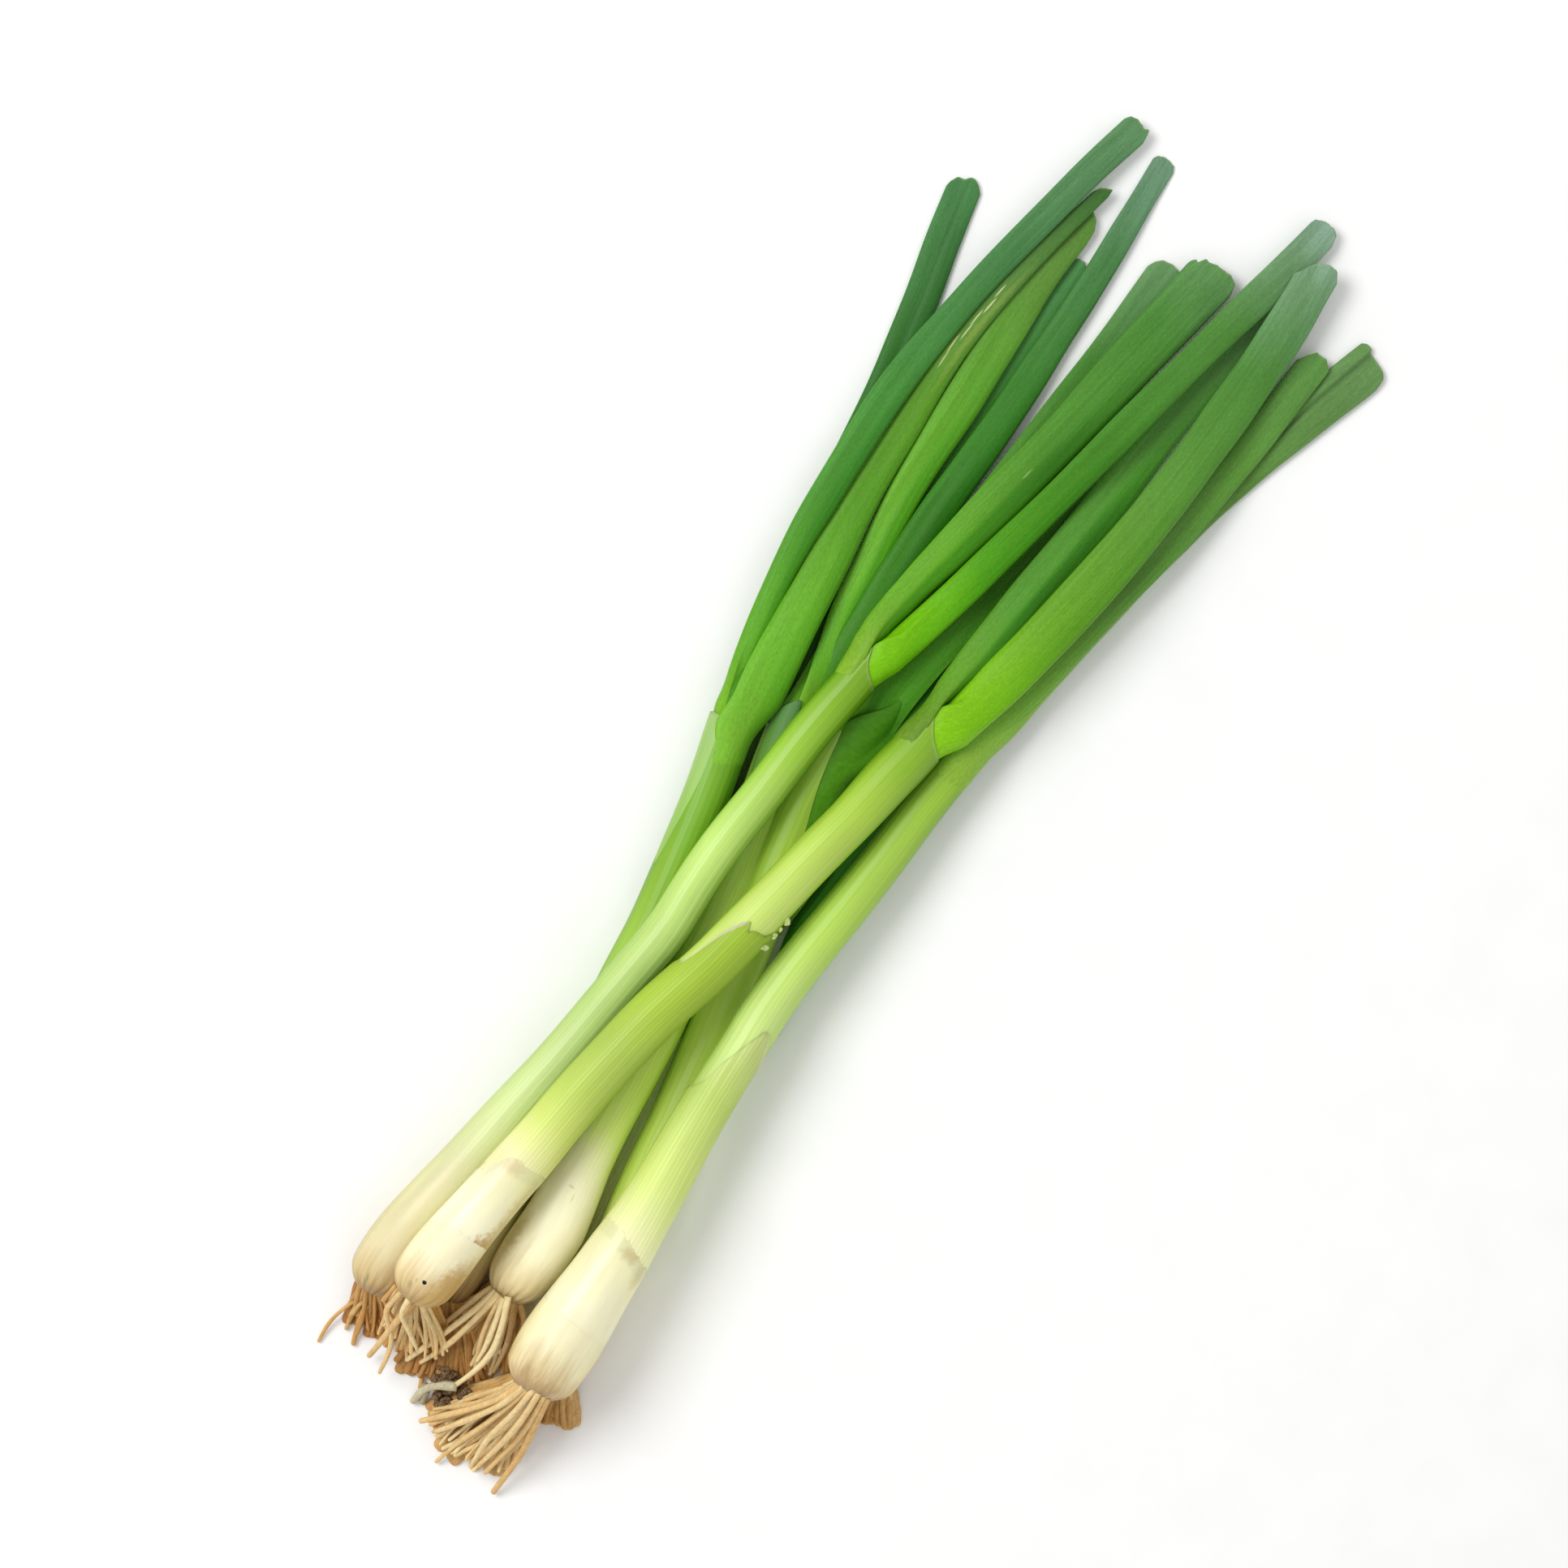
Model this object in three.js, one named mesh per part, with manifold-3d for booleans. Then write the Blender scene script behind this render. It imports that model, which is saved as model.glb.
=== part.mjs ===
// A bunch of six spring onions lying on a table: white bulbs and roots at -X, cut leaf tips at +X, +Z up.
// Every plant is a stem (bulb and nested leaf sheaths), its leaves, and a tuft of roots on its basal plate.
// Stems and leaves are strands: a plan line and a width along it, laid one on another in stacking order.

import * as THREE from 'three';
import { mergeVertices } from 'three/addons/utils/BufferGeometryUtils.js';
import Module from 'manifold-3d';

const wasm = await Module();
wasm.setup();

// Driving dimensions, in millimetres.
const GAP = 0.35; // left between neighbours, so that no two solids touch
const SINK = 0.3; // how far the lowest strands are pressed flat by the table
const SAMPLE = 3; // distance between the points at which heights are worked out
const SOCKET = 9; // how deep a leaf stands in the mouth of its stem
const STEM_BEND = 700; // bend radius of a stem that droops past its support
const LEAF_BEND = 300; // the same for a leaf
const STEM_SIDES = 12;
const LEAF_SIDES = 8;
const STEM_STEP = 14; // distance between the rings of a stem, past its bulb
const LEAF_STEP = 13;
const STEM_HEIGHT = 0.95; // height over width of a stem
const LEAF_HEIGHT_AT_BASE = 0.5; // height over width of a leaf, a tube that flattens towards its tip
const LEAF_HEIGHT_AT_TIP = 0.26;
const KIN_FREE = 12; // distance along which leaves of one plant may nest in each other
const KIN_RAMP = 45; // distance along which they then part
const SHEATH_EDGE = 6; // how far the torn edge of an outer sheath may run on past its end
const SLIVER = 0.02; // facets thinner than this, left by a cut, are merged with their neighbours
const SEED = 20;

// The stems: plan line from root plate to mouth, then [distance, width] along it, then how far the mouth's
// +Y lip runs on past its other lip, and where an outer sheath ends: [from, to, thickness, lead of its +Y edge].
const STEMS = {
  onion_6: {
    line: [[-151, -8], [-144, -6.4], [-137, -5.4], [-126, -4.6], [-113, -3.2], [-93, -0.6], [-78, 1.4], [-61, 4.2],
      [-50, 5.6], [-39, 8], [-28, 10.4], [-17, 13], [-7, 15.6], [2, 18.4]],
    width: [[0, 8.6], [4, 11], [11, 12], [22, 11.4], [40, 11], [70, 11.2], [110, 11.8], [156, 12]],
    lip: 3,
  },
  onion_3: {
    line: [[-144, -18.6], [-138, -18.4], [-132, -18.2], [-118, -17.2], [-100, -14.6], [-83, -13], [-70, -11],
      [-51, -7.6], [-34, -4.6], [-20, -1.4], [-4, 3.2], [13, 7.4]],
    width: [[0, 10.2], [3, 13.4], [10, 15.8], [18, 15.6], [27, 14.8], [44, 13.2], [61, 12.2], [90, 11.2], [160, 11]],
    lip: 5,
  },
  onion_4: {
    line: [[-153, -42], [-143, -40.2], [-130, -37.4], [-115, -33], [-101, -29.6], [-87, -27], [-76, -25.2],
      [-64, -23.2], [-48, -20.2], [-31, -16.6], [-16, -12.4], [-2, -8.6], [10, -6], [19, -4.6]],
    width: [[0, 8], [5, 11.6], [12, 12.8], [23, 12.4], [40, 12], [80, 11.2], [176, 10.4]],
    lip: -6,
  },
  onion_5: {
    line: [[-158, -39], [-150.4, -36.9], [-142, -36], [-128.4, -35.2], [-109, -34.6], [-87, -32], [-74, -31],
      [-61, -30], [-49, -29], [-37, -29], [-18, -30], [-4, -31], [13, -31], [29, -32]],
    width: [[0, 12.4], [3.4, 16.8], [9, 19.4], [16, 19.9], [24, 18.7], [33, 16.6], [42, 14.9], [54, 13.6], [73, 12.6],
      [100, 11.4], [140, 11.4], [188, 10.4]],
    lip: 4,
    sheath: [44, 102, 0.7, -9],
  },
  onion_1: {
    line: [[-161.4, 8.4], [-153.4, 10.4], [-145.2, 10.6], [-136, 9.9], [-121, 8], [-105, 7], [-85, 5], [-72, 4], [-58, 3],
      [-49, 2], [-24, 4], [-11, 3], [4, 3], [15, 2], [26, 1.5], [35, 0]],
    width: [[0, 11.6], [3.4, 14.6], [9, 15.8], [17, 15.6], [27, 14.6], [42, 13.3], [60, 11.8], [80, 11], [110, 10.8],
      [140, 10.4], [198, 10.8]],
    lip: 5,
  },
  onion_2: {
    line: [[-156, 0.2], [-149, 0], [-141, 0], [-128, -1], [-113, -2.5], [-94, -4], [-74, -6], [-57, -9],
      [-44, -12], [-21, -15], [0, -18], [20, -21], [30, -23]],
    width: [[0, 11.8], [3.4, 14.8], [8.4, 16.2], [15, 16.2], [28, 14.4], [43, 13.2], [63, 12.8], [84, 12.2], [114, 11.8],
      [158, 11.9], [189, 12.2]],
    lip: 5,
    sheath: [46, 119, 0.7, 9],
  },
};

// The leaves, from the mouth of their stem to the cut tip. seat is the base's place in the mouth: [towards
// +Y, up], as shares of the stem's half width. cut is how far the tip's +Y corner runs on past the other.
const LEAVES = {
  onion_6_side_leaf: {
    line: [[6, 19.5], [16, 22], [35, 27], [54, 31], [76, 34.5], [90, 37], [100, 39], [111, 42], [121, 44],
      [130, 47], [139, 49], [149.6, 52]],
    width: [[0, 5], [20, 7.6], [50, 8.6], [100, 8.9], [160, 8.6]],
    seat: [0.1, -0.35],
    cut: 3,
  },
  onion_3_middle_leaf: {
    line: [[16, 9], [27, 9.5], [47, 11], [66, 13], [83, 15], [98, 15.5], [110, 15.5], [123, 16], [137, 16.5], [148, 17]],
    width: [[0, 4], [25, 6.6], [60, 7], [150, 6.8]],
    seat: [0, -0.4],
    cut: 1.5,
  },
  onion_3_outer_leaf: {
    line: [[17, 10.5], [25, 10.5], [34, 11.5], [45, 13], [56, 14.5], [67, 17], [78, 18.5], [90, 19.5], [102, 20],
      [113, 21], [125, 22], [138, 22.8], [150, 22], [160, 21.6]],
    width: [[0, 4.4], [20, 7.8], [45, 8.1], [78, 8.9], [105, 10.3], [125, 10.4], [140, 9], [155, 6.8]],
    seat: [0.5, 0.05],
    cut: -4,
  },
  onion_3_inner_leaf: {
    line: [[17, 6.5], [25, 6.5], [39, 7], [48, 7.8], [60, 8.4], [72, 9], [85, 9], [97, 9], [109, 9.2], [121, 10],
      [133, 10.5], [145, 11], [157, 12], [165, 12.8], [173, 13.6], [183, 14.2]],
    width: [[0, 4.4], [20, 8], [50, 8.8], [100, 8.7], [120, 7.8], [145, 7.1], [180, 5.6]],
    seat: [-0.4, 0.1],
    cut: -1,
  },
  onion_6_outer_leaf: {
    line: [[6, 15], [16, 17.5], [27, 19.5], [38, 21], [49, 23], [60, 25], [71, 26.5], [83, 27.3], [95, 28],
      [107, 29], [119, 29], [133, 27.5], [146, 26], [167, 22.2]],
    width: [[0, 7], [18, 10.2], [50, 10.4], [72, 9.4], [85, 8], [110, 6.7], [135, 5.4], [155, 4.2], [176, 3.4]],
    seat: [-0.42, 0.05],
    cut: -4,
  },
  onion_6_inner_leaf: {
    line: [[6, 21], [12, 23], [22, 26], [33, 29], [43, 31], [54, 33], [66, 34], [78, 35], [89, 35.8], [102, 36],
      [115, 35], [128, 34], [142, 32], [155, 30], [169, 28], [186, 24.4]],
    width: [[0, 4.4], [18, 7], [60, 7.6], [88, 8.6], [110, 8.2], [130, 7.3], [180, 7.6]],
    seat: [0.45, 0.3],
    cut: 2,
  },
  onion_4_inner_leaf: {
    line: [[18, -9], [27, -12], [40, -14], [55, -15], [74, -15.4], [94, -15.4], [108, -17], [122, -18], [134, -18.4]],
    width: [[0, 5.4], [12, 9.4], [24, 11.4], [50, 11.6], [75, 9.6], [125, 7.6]],
    seat: [-0.35, 0],
    cut: 0,
  },
  onion_4_outer_leaf: {
    line: [[24, -3.4], [33, -2], [49, -0.4], [66, 0], [86, -0.4], [102, -1], [119, -1.6], [132, -2], [145, -2], [159, -2]],
    width: [[0, 4.6], [20, 8.2], [60, 8.8], [140, 9.1]],
    seat: [0.4, 0.1],
    cut: 2,
  },
  onion_5_outer_leaf: {
    line: [[35, -33], [44, -34], [54, -35.4], [68, -37], [89, -40], [100, -41.4], [116, -44], [130, -46.8], [143, -50],
      [156, -53], [172.4, -57.6]],
    width: [[0, 7], [16, 9.8], [50, 9.2], [90, 8.9], [115, 9.3], [130, 10.6], [145, 11.6]],
    seat: [-0.3, -0.1],
    cut: 1,
  },
  onion_5_inner_leaf: {
    line: [[36, -31.5], [52, -34.4], [68, -36.8], [82, -38.8], [96, -41], [109, -42.6], [122, -43.6], [135, -44.6],
      [148, -45], [164.4, -45.4]],
    width: [[0, 4.6], [20, 8], [60, 8.4], [130, 8.2]],
    seat: [0.35, 0.35],
    cut: 2,
  },
};

// The two uppermost plants lie over the others, so their stems and leaves are laid last.
const TOP_LEAVES = {
  onion_1_outer_leaf: {
    line: [[42, 2.6], [51, 2.8], [64, 1.8], [78, -0.4], [92, -2.6], [106, -4.8], [119, -6.4], [133, -8], [146, -9.6],
      [168, -12.4]],
    width: [[0, 3.4], [14, 6.4], [28, 9.2], [45, 10.2], [75, 11.4], [110, 12.6], [138, 14]],
    seat: [0.55, 0.05],
    cut: 5,
  },
  onion_2_outer_leaf: {
    line: [[38, -21.2], [51, -21], [64, -21.2], [76, -22], [88, -23], [103, -24], [118, -24.2], [132, -24.6],
      [146, -25.6], [158, -27], [169, -29]],
    width: [[0, 3.4], [14, 6.6], [28, 9.2], [50, 10.4], [95, 10.6], [140, 9.4]],
    seat: [0.55, 0.05],
    cut: 2,
  },
  onion_1_inner_leaf: {
    line: [[43, -3], [58, -6.4], [71, -8.6], [85, -11], [99, -13.4], [113, -15.6], [125, -17.4], [141, -20],
      [158, -22.6], [173, -25.6], [190.6, -28]],
    width: [[0, 6.6], [12, 8.4], [24, 8.6], [60, 8.1], [100, 7.9], [140, 8.4], [160, 8.2]],
    seat: [-0.2, 0.1],
    cut: -2,
  },
  onion_2_inner_leaf: {
    line: [[43, -27], [53, -28.8], [65, -30.6], [76, -32], [89, -33.4], [103, -34.6], [115, -35], [127, -35.2],
      [140, -35.2], [152, -35], [164, -34.6], [176, -33.4], [184, -32.4]],
    width: [[0, 8], [10, 10.6], [24, 11.4], [42, 12.2], [70, 11.6], [130, 11.2], [158, 10.6]],
    seat: [-0.2, 0.1],
    cut: 1,
  },
};

// An old leaf that left the side of its stem low down, and lies loose on the table under it.
const LOW_LEAVES = {
  onion_5_low_leaf: {
    line: [[-64, -35], [-50, -32], [-38, -28.8], [-26, -26.4], [-14, -25.2], [-2, -25.6], [9, -27.4], [24, -30],
      [40, -32], [58, -33.6], [76, -35.4]],
    width: [[0, 5], [14, 8], [40, 9.4], [90, 8.6], [140, 6]],
    cut: 1,
  },
};

// From the table upwards, the order in which the strands lie on each other.
const ORDER = [
  'onion_6', 'onion_3', 'onion_4', ...Object.keys(LOW_LEAVES), 'onion_5', ...Object.keys(LEAVES),
  'onion_1', 'onion_2', ...Object.keys(TOP_LEAVES),
];

// The roots: how many, [shortest, longest], the plan direction they leave in, the half angle of their
// fan in degrees, and how far [below, above] the middle of the plate they keep.
const ROOTS = {
  onion_1: { count: 13, reach: [9, 16], aim: [-1, -0.12], fan: 30, band: [9, 3] },
  onion_2: { count: 14, reach: [10, 18], aim: [-1, -0.1], fan: 34, band: [5, 3] },
  onion_3: { count: 16, reach: [15, 25], aim: [-1, -0.2], fan: 19, band: [2, 4] },
  onion_4: { count: 9, reach: [7, 12], aim: [-0.9, -0.42], fan: 20, band: [5, 3] },
  onion_5: { count: 18, reach: [17, 27], aim: [-1, 0.31], fan: 28, band: [9, 4] },
  onion_6: { count: 14, reach: [14, 24], aim: [-1, -0.38], fan: 17, band: [5, 0.4] },
};
const ROOT_THICK = [1.9, 1]; // diameter of a root where it leaves the plate, and at its tip
const PLATE = 2.6; // thickness of the basal plate

const STEM_COLOURS = { near: 0xe6e8c0, far: 0x9cc24a };
const LEAF_COLOUR = 0x4a8a2a;
const ROOT_COLOUR = 0xc79a5e;

// A repeatable random number from 0 to 1 (a linear congruential generator).
function randomFrom(seed) {
  let state = seed;
  return () => {
    state = (state * 1664525 + 1013904223) % 4294967296;
    return state / 4294967296;
  };
}

// A smooth value along [distance, value] knots.
function along(knots) {
  const last = knots[knots.length - 1];
  const curve = new THREE.CubicInterpolant(
    knots.map((k) => k[0]), knots.map((k) => k[1]), 1, new Float32Array(1));
  return (s) => (s >= last[0] ? last[1] : curve.evaluate(Math.max(s, 0))[0]);
}

// Evenly spaced samples of a strand: plan point, distance along it, half width a, half height b, height z,
// and how much an outer sheath adds all round.
function sampled(line, width, heightShare, sheath = [0, 0, 0]) {
  const curve = new THREE.CatmullRomCurve3(line.map(([x, y]) => new THREE.Vector3(x, y, 0)), false, 'centripetal');
  const length = curve.getLength();
  const steps = Math.round(length / SAMPLE);
  const widthAt = along(width);
  return curve.getSpacedPoints(steps).map((p, i) => {
    const s = (length * i) / steps;
    const a = widthAt(s) / 2;
    const b = a * heightShare(s / length);
    const wrap = s > sheath[0] - SAMPLE && s < sheath[1] + SHEATH_EDGE ? sheath[2] : 0;
    return { x: p.x, y: p.y, s, a, b, wrap, z: b - SINK };
  });
}

function leafHeightShare(t) {
  return THREE.MathUtils.lerp(LEAF_HEIGHT_AT_BASE, LEAF_HEIGHT_AT_TIP, t);
}

// The stems, then the leaves, each leaf's line starting down in the mouth of its stem.
const strands = {};
for (const [name, leaf] of Object.entries(LOW_LEAVES)) {
  const samples = sampled(leaf.line, leaf.width, leafHeightShare);
  strands[name] = { ...leaf, plant: name, samples, bend: LEAF_BEND, isLeaf: true };
}
for (const [name, stem] of Object.entries(STEMS)) {
  const samples = sampled(stem.line, stem.width, () => STEM_HEIGHT, stem.sheath);
  strands[name] = { ...stem, plant: name, samples, bend: STEM_BEND };
}
for (const [name, leaf] of Object.entries({ ...LEAVES, ...TOP_LEAVES })) {
  const plant = name.slice(0, 'onion_1'.length);
  const stem = strands[plant].samples;
  const seatAt = (back) => {
    const k = stem.length - 1 - Math.round(back / SAMPLE);
    const dx = stem[k].x - stem[k - 1].x;
    const dy = stem[k].y - stem[k - 1].y;
    const out = (leaf.seat[0] * stem[k].a) / Math.hypot(dx, dy);
    return [stem[k].x - dy * out, stem[k].y + dx * out];
  };
  const line = [seatAt(SOCKET), seatAt(SOCKET / 2), ...leaf.line];
  strands[name] = {
    ...leaf, plant, stem, samples: sampled(line, leaf.width, leafHeightShare), bend: LEAF_BEND,
    rise: leaf.seat[1] * stem[stem.length - 1].b, isLeaf: true,
  };
}

// The height that sample p of one strand needs to clear sample q of a strand below it, as two ellipses.
function clearance(p, q, share) {
  const apart = GAP + p.wrap + q.wrap;
  const reach = p.a + q.a + apart;
  const d2 = (p.x - q.x) ** 2 + (p.y - q.y) ** 2;
  return d2 < reach * reach ? q.z + share * (p.b + q.b + apart) * Math.sqrt(1 - d2 / (reach * reach)) : -Infinity;
}

// How much of its clearance a leaf keeps to a leaf of the same plant: none in the mouth, all further on.
function kinShare(p, q) {
  return THREE.MathUtils.smoothstep(Math.min(p.s, q.s), KIN_FREE, KIN_FREE + KIN_RAMP);
}

// Lays every strand on those below it, bottom to top, and repeats so that stems and leaves meet in height.
// A strand is held up by its highest supports and droops away from each of them in a parabola.
function settle() {
  const leaves = Object.values(strands).filter((s) => s.stem);
  for (let round = 0; round < 4; round += 1) {
    ORDER.forEach((name, order) => {
      const strand = strands[name];
      const needs = strand.samples.map((p) => {
        let need = p.b - SINK;
        for (const lower of ORDER.slice(0, order)) {
          const other = strands[lower];
          if (other.samples === strand.stem) continue;
          const kin = other.plant === strand.plant;
          for (const q of other.samples) need = Math.max(need, clearance(p, q, kin ? kinShare(p, q) : 1));
        }
        return need;
      });
      if (strand.stem) {
        const mouth = strand.stem[strand.stem.length - 1];
        for (let i = 0; strand.samples[i].s < SOCKET; i += 1) needs[i] = mouth.z + strand.rise;
      } else if (!strand.isLeaf) {
        const own = leaves.filter((leaf) => leaf.plant === strand.plant);
        const lift = Math.max(...own.map((leaf) => leaf.samples[0].z - leaf.rise));
        needs[needs.length - 1] = Math.max(needs[needs.length - 1], lift);
      }
      const hung = strand.samples.map((p) => Math.max(
        ...strand.samples.map((q, j) => needs[j] - (p.s - q.s) ** 2 / (2 * strand.bend))));
      const smooth = hung.map((_, i) => {
        const near = hung.slice(Math.max(i - 2, 0), i + 3);
        return near.reduce((sum, z) => sum + z, 0) / near.length;
      });
      strand.samples.forEach((p, i) => { p.z = Math.max(smooth[i], needs[i]); });
    });
  }
}
settle();

// Closed mesh <-> manifold solid.
function toSolid(geometry) {
  geometry.deleteAttribute('normal');
  geometry.deleteAttribute('uv');
  const merged = mergeVertices(geometry, 1e-3);
  return new wasm.Manifold(new wasm.Mesh({
    numProp: 3,
    vertProperties: new Float32Array(merged.attributes.position.array),
    triVerts: new Uint32Array(merged.index.array),
  }));
}

function toGeometry(solid) {
  const mesh = solid.getMesh();
  const geometry = new THREE.BufferGeometry();
  geometry.setAttribute('position', new THREE.BufferAttribute(mesh.vertProperties, 3));
  geometry.setIndex(new THREE.BufferAttribute(mesh.triVerts, 1));
  geometry.computeVertexNormals();
  return geometry;
}

// The biggest body of a cut solid, so that no loose scrap is left.
function mainBody(solid) {
  return solid.decompose().reduce((best, body) => (body.volume() > best.volume() ? body : best));
}

// Position and directions of a strand at distance s: along it, across it (towards +Y) and up.
function frameAt(samples, s) {
  const last = samples.length - 1;
  const f = THREE.MathUtils.clamp((s / samples[last].s) * last, 0, last);
  const i = Math.min(Math.floor(f), last - 1);
  const p = samples[i];
  const q = samples[i + 1];
  const mix = (key) => THREE.MathUtils.lerp(p[key], q[key], f - i);
  const before = samples[Math.max(i - 1, 0)];
  const after = samples[Math.min(i + 2, last)];
  const ahead = new THREE.Vector3(after.x - before.x, after.y - before.y, after.z - before.z).normalize();
  const across = new THREE.Vector3(-ahead.y, ahead.x, 0).normalize();
  return { at: new THREE.Vector3(mix('x'), mix('y'), mix('z')), ahead, across,
    up: new THREE.Vector3().crossVectors(ahead, across), a: mix('a'), b: mix('b') };
}

// A closed tube with an elliptical section: a straight cylinder whose rings are moved onto the strand at the
// given distances. grow thickens it, lead slants its far end, and shrink narrows each of its rings.
function tube(samples, rings, sides, { grow = 0, lead = 0, shrink = () => 1 } = {}) {
  const count = rings.length - 1;
  const geometry = new THREE.CylinderGeometry(1, 1, 1, sides, count);
  const position = geometry.attributes.position;
  const point = new THREE.Vector3();
  const turn = Math.PI / sides;
  for (let i = 0; i < position.count; i += 1) {
    point.fromBufferAttribute(position, i);
    const ring = Math.round((point.y + 0.5) * count);
    const f = frameAt(samples, rings[ring]);
    const side = point.x * Math.cos(turn) - point.z * Math.sin(turn);
    const rise = -(point.x * Math.sin(turn) + point.z * Math.cos(turn));
    const slant = ring === count ? (lead / 2) * side : 0;
    const past = rings[ring] < 0 ? rings[ring] : 0;
    const size = shrink(ring / count, rings[ring]);
    point.copy(f.at)
      .addScaledVector(f.ahead, slant + past)
      .addScaledVector(f.across, side * (f.a * size + grow))
      .addScaledVector(f.up, rise * (f.b * size + grow));
    position.setXYZ(i, point.x, point.y, point.z);
  }
  return toSolid(geometry);
}

// Ring distances: close together round the bulb, then even, up to the mouth.
function stemRings(length) {
  const rings = [0, 1.6, 4, 8, 13, 19, 27, 37];
  const rest = Math.ceil((length - 48) / STEM_STEP);
  for (let i = 0; i <= rest; i += 1) rings.push(48 + ((length - 48) * i) / rest);
  return rings;
}

// Ring distances of a leaf: even, then close together where the cut tip rounds off.
function leafRings(length) {
  const even = Math.ceil((length - 5) / LEAF_STEP);
  const rings = [];
  for (let i = 0; i <= even; i += 1) rings.push(((length - 5) * i) / even);
  return [...rings, length - 1.6, length];
}

// The corners of a cut tip are rounded: full width, then 94 %, then 78 % at the cut.
function tipShrink(t, s, length) {
  if (s > length - 0.5) return 0.78;
  return s > length - 2.5 ? 0.94 : 1;
}

function stemTube(strand, options = {}) {
  const length = strand.samples[strand.samples.length - 1].s;
  return tube(strand.samples, stemRings(length), STEM_SIDES, { lead: strand.lip, ...options });
}

function leafTube(strand, grow = 0) {
  const length = strand.samples[strand.samples.length - 1].s;
  const rings = leafRings(length);
  if (grow > 0) rings[0] = -grow;
  return tube(strand.samples, rings, LEAF_SIDES,
    { grow, lead: strand.cut, shrink: (t, s) => tipShrink(t, s, length) });
}

// The outer sheath of a stem, a thin sleeve round it that ends in a slanted torn edge.
function sheathTube(strand) {
  const [from, to, thick, lead] = strand.sheath;
  const rings = [];
  const count = Math.round((to - from) / STEM_STEP);
  for (let i = 0; i <= count; i += 1) rings.push(from + ((to - from) * i) / count);
  return tube(strand.samples, rings, STEM_SIDES, { grow: thick, lead });
}

// What the table presses flat: everything below it.
const below = toSolid(new THREE.BoxGeometry(600, 300, 20).translate(0, 0, -10));

const solids = {};
for (const [name, strand] of Object.entries(strands)) {
  solids[name] = strand.isLeaf ? leafTube(strand) : stemTube(strand);
  if (strand.sheath) solids[name] = solids[name].add(sheathTube(strand));
}

// Each leaf has a plain hole in the mouth of its stem, and the outer leaf is hollowed where it wraps an inner one.
const leafNames = Object.keys(strands).filter((name) => strands[name].isLeaf);
for (const name of leafNames.filter((each) => strands[each].stem)) {
  const leaf = strands[name];
  const room = leafTube(leaf, GAP);
  solids[leaf.plant] = solids[leaf.plant].subtract(room);
  for (const other of leafNames) {
    const later = leafNames.indexOf(other) < leafNames.indexOf(name);
    if (later && strands[other].plant === leaf.plant) solids[other] = solids[other].subtract(room);
  }
}

// One root: a tapering four-sided strand from inside the plate, bending gently, kept in its band of heights.
function root(start, direction, length, bend, lowest, highest) {
  const steps = 4;
  const geometry = new THREE.CylinderGeometry(ROOT_THICK[1] / 2, ROOT_THICK[0] / 2, 1, 4, steps);
  const position = geometry.attributes.position;
  const across = new THREE.Vector3(-direction.y, direction.x, 0).normalize();
  const up = new THREE.Vector3().crossVectors(direction, across);
  const point = new THREE.Vector3();
  for (let i = 0; i < position.count; i += 1) {
    point.fromBufferAttribute(position, i);
    const t = point.y + 0.5;
    const centre = start.clone().addScaledVector(direction, length * t).addScaledVector(bend, length * t * t);
    centre.z = THREE.MathUtils.clamp(centre.z, lowest, highest);
    centre.addScaledVector(across, point.x).addScaledVector(up, -point.z);
    position.setXYZ(i, centre.x, centre.y, centre.z);
  }
  return toSolid(geometry);
}

// The basal plate of a plant with its roots, sunk well into it, as one body.
function rootTuft(name) {
  const { count, reach, aim, fan, band } = ROOTS[name];
  const random = randomFrom(SEED + Number(name.slice(-1)));
  const foot = frameAt(strands[name].samples, 0);
  const radius = foot.a * 0.86;
  const plate = new THREE.CylinderGeometry(radius, radius * 0.55, PLATE, 10, 1);
  const basis = new THREE.Matrix4().makeBasis(foot.across, foot.ahead, foot.up.clone().negate());
  basis.setPosition(foot.at.clone().addScaledVector(foot.ahead, -GAP - PLATE / 2));
  let tuft = toSolid(plate.applyMatrix4(basis));
  const heading = Math.atan2(aim[1], aim[0]);
  const lowest = Math.max(foot.at.z - band[0], ROOT_THICK[0] / 2 + GAP);
  const highest = foot.at.z + band[1];
  for (let i = 0; i < count; i += 1) {
    const spread = count > 1 ? (2 * i) / (count - 1) - 1 : 0;
    const turn = heading + THREE.MathUtils.degToRad(fan * (spread + 0.3 * (random() - 0.5)));
    const pitch = (random() - 0.5) * 0.9;
    const direction = new THREE.Vector3(Math.cos(turn) * Math.cos(pitch), Math.sin(turn) * Math.cos(pitch), Math.sin(pitch));
    const start = foot.at.clone()
      .addScaledVector(foot.ahead, -GAP - 1.3)
      .addScaledVector(foot.across, -spread * radius * 0.5)
      .addScaledVector(foot.up, (random() - 0.5) * radius);
    const length = THREE.MathUtils.lerp(reach[0], reach[1], random());
    const bend = new THREE.Vector3(0, (random() - 0.5) * 0.3, -0.15 - 0.35 * random());
    tuft = tuft.add(root(start, direction, length, bend, lowest, highest));
  }
  return mainBody(tuft);
}

// Names, colours and finishes of the nodes.
function material(colour, roughness) {
  return new THREE.MeshStandardMaterial({ color: colour, roughness, metalness: 0 });
}

const bunch = new THREE.Group();
function addNode(name, solid, finish) {
  const lying = solid.boundingBox().min[2] < 0 ? solid.subtract(below) : solid;
  const mesh = new THREE.Mesh(toGeometry(mainBody(lying.simplify(SLIVER))), finish);
  mesh.name = name;
  bunch.add(mesh);
}

for (const name of Object.keys(STEMS)) {
  addNode(`${name}_stem`, solids[name], material(STEM_COLOURS.near, 0.35));
  addNode(`${name}_roots`, rootTuft(name), material(ROOT_COLOUR, 0.85));
}
for (const name of leafNames) addNode(name, solids[name], material(LEAF_COLOUR, 0.45));

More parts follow.
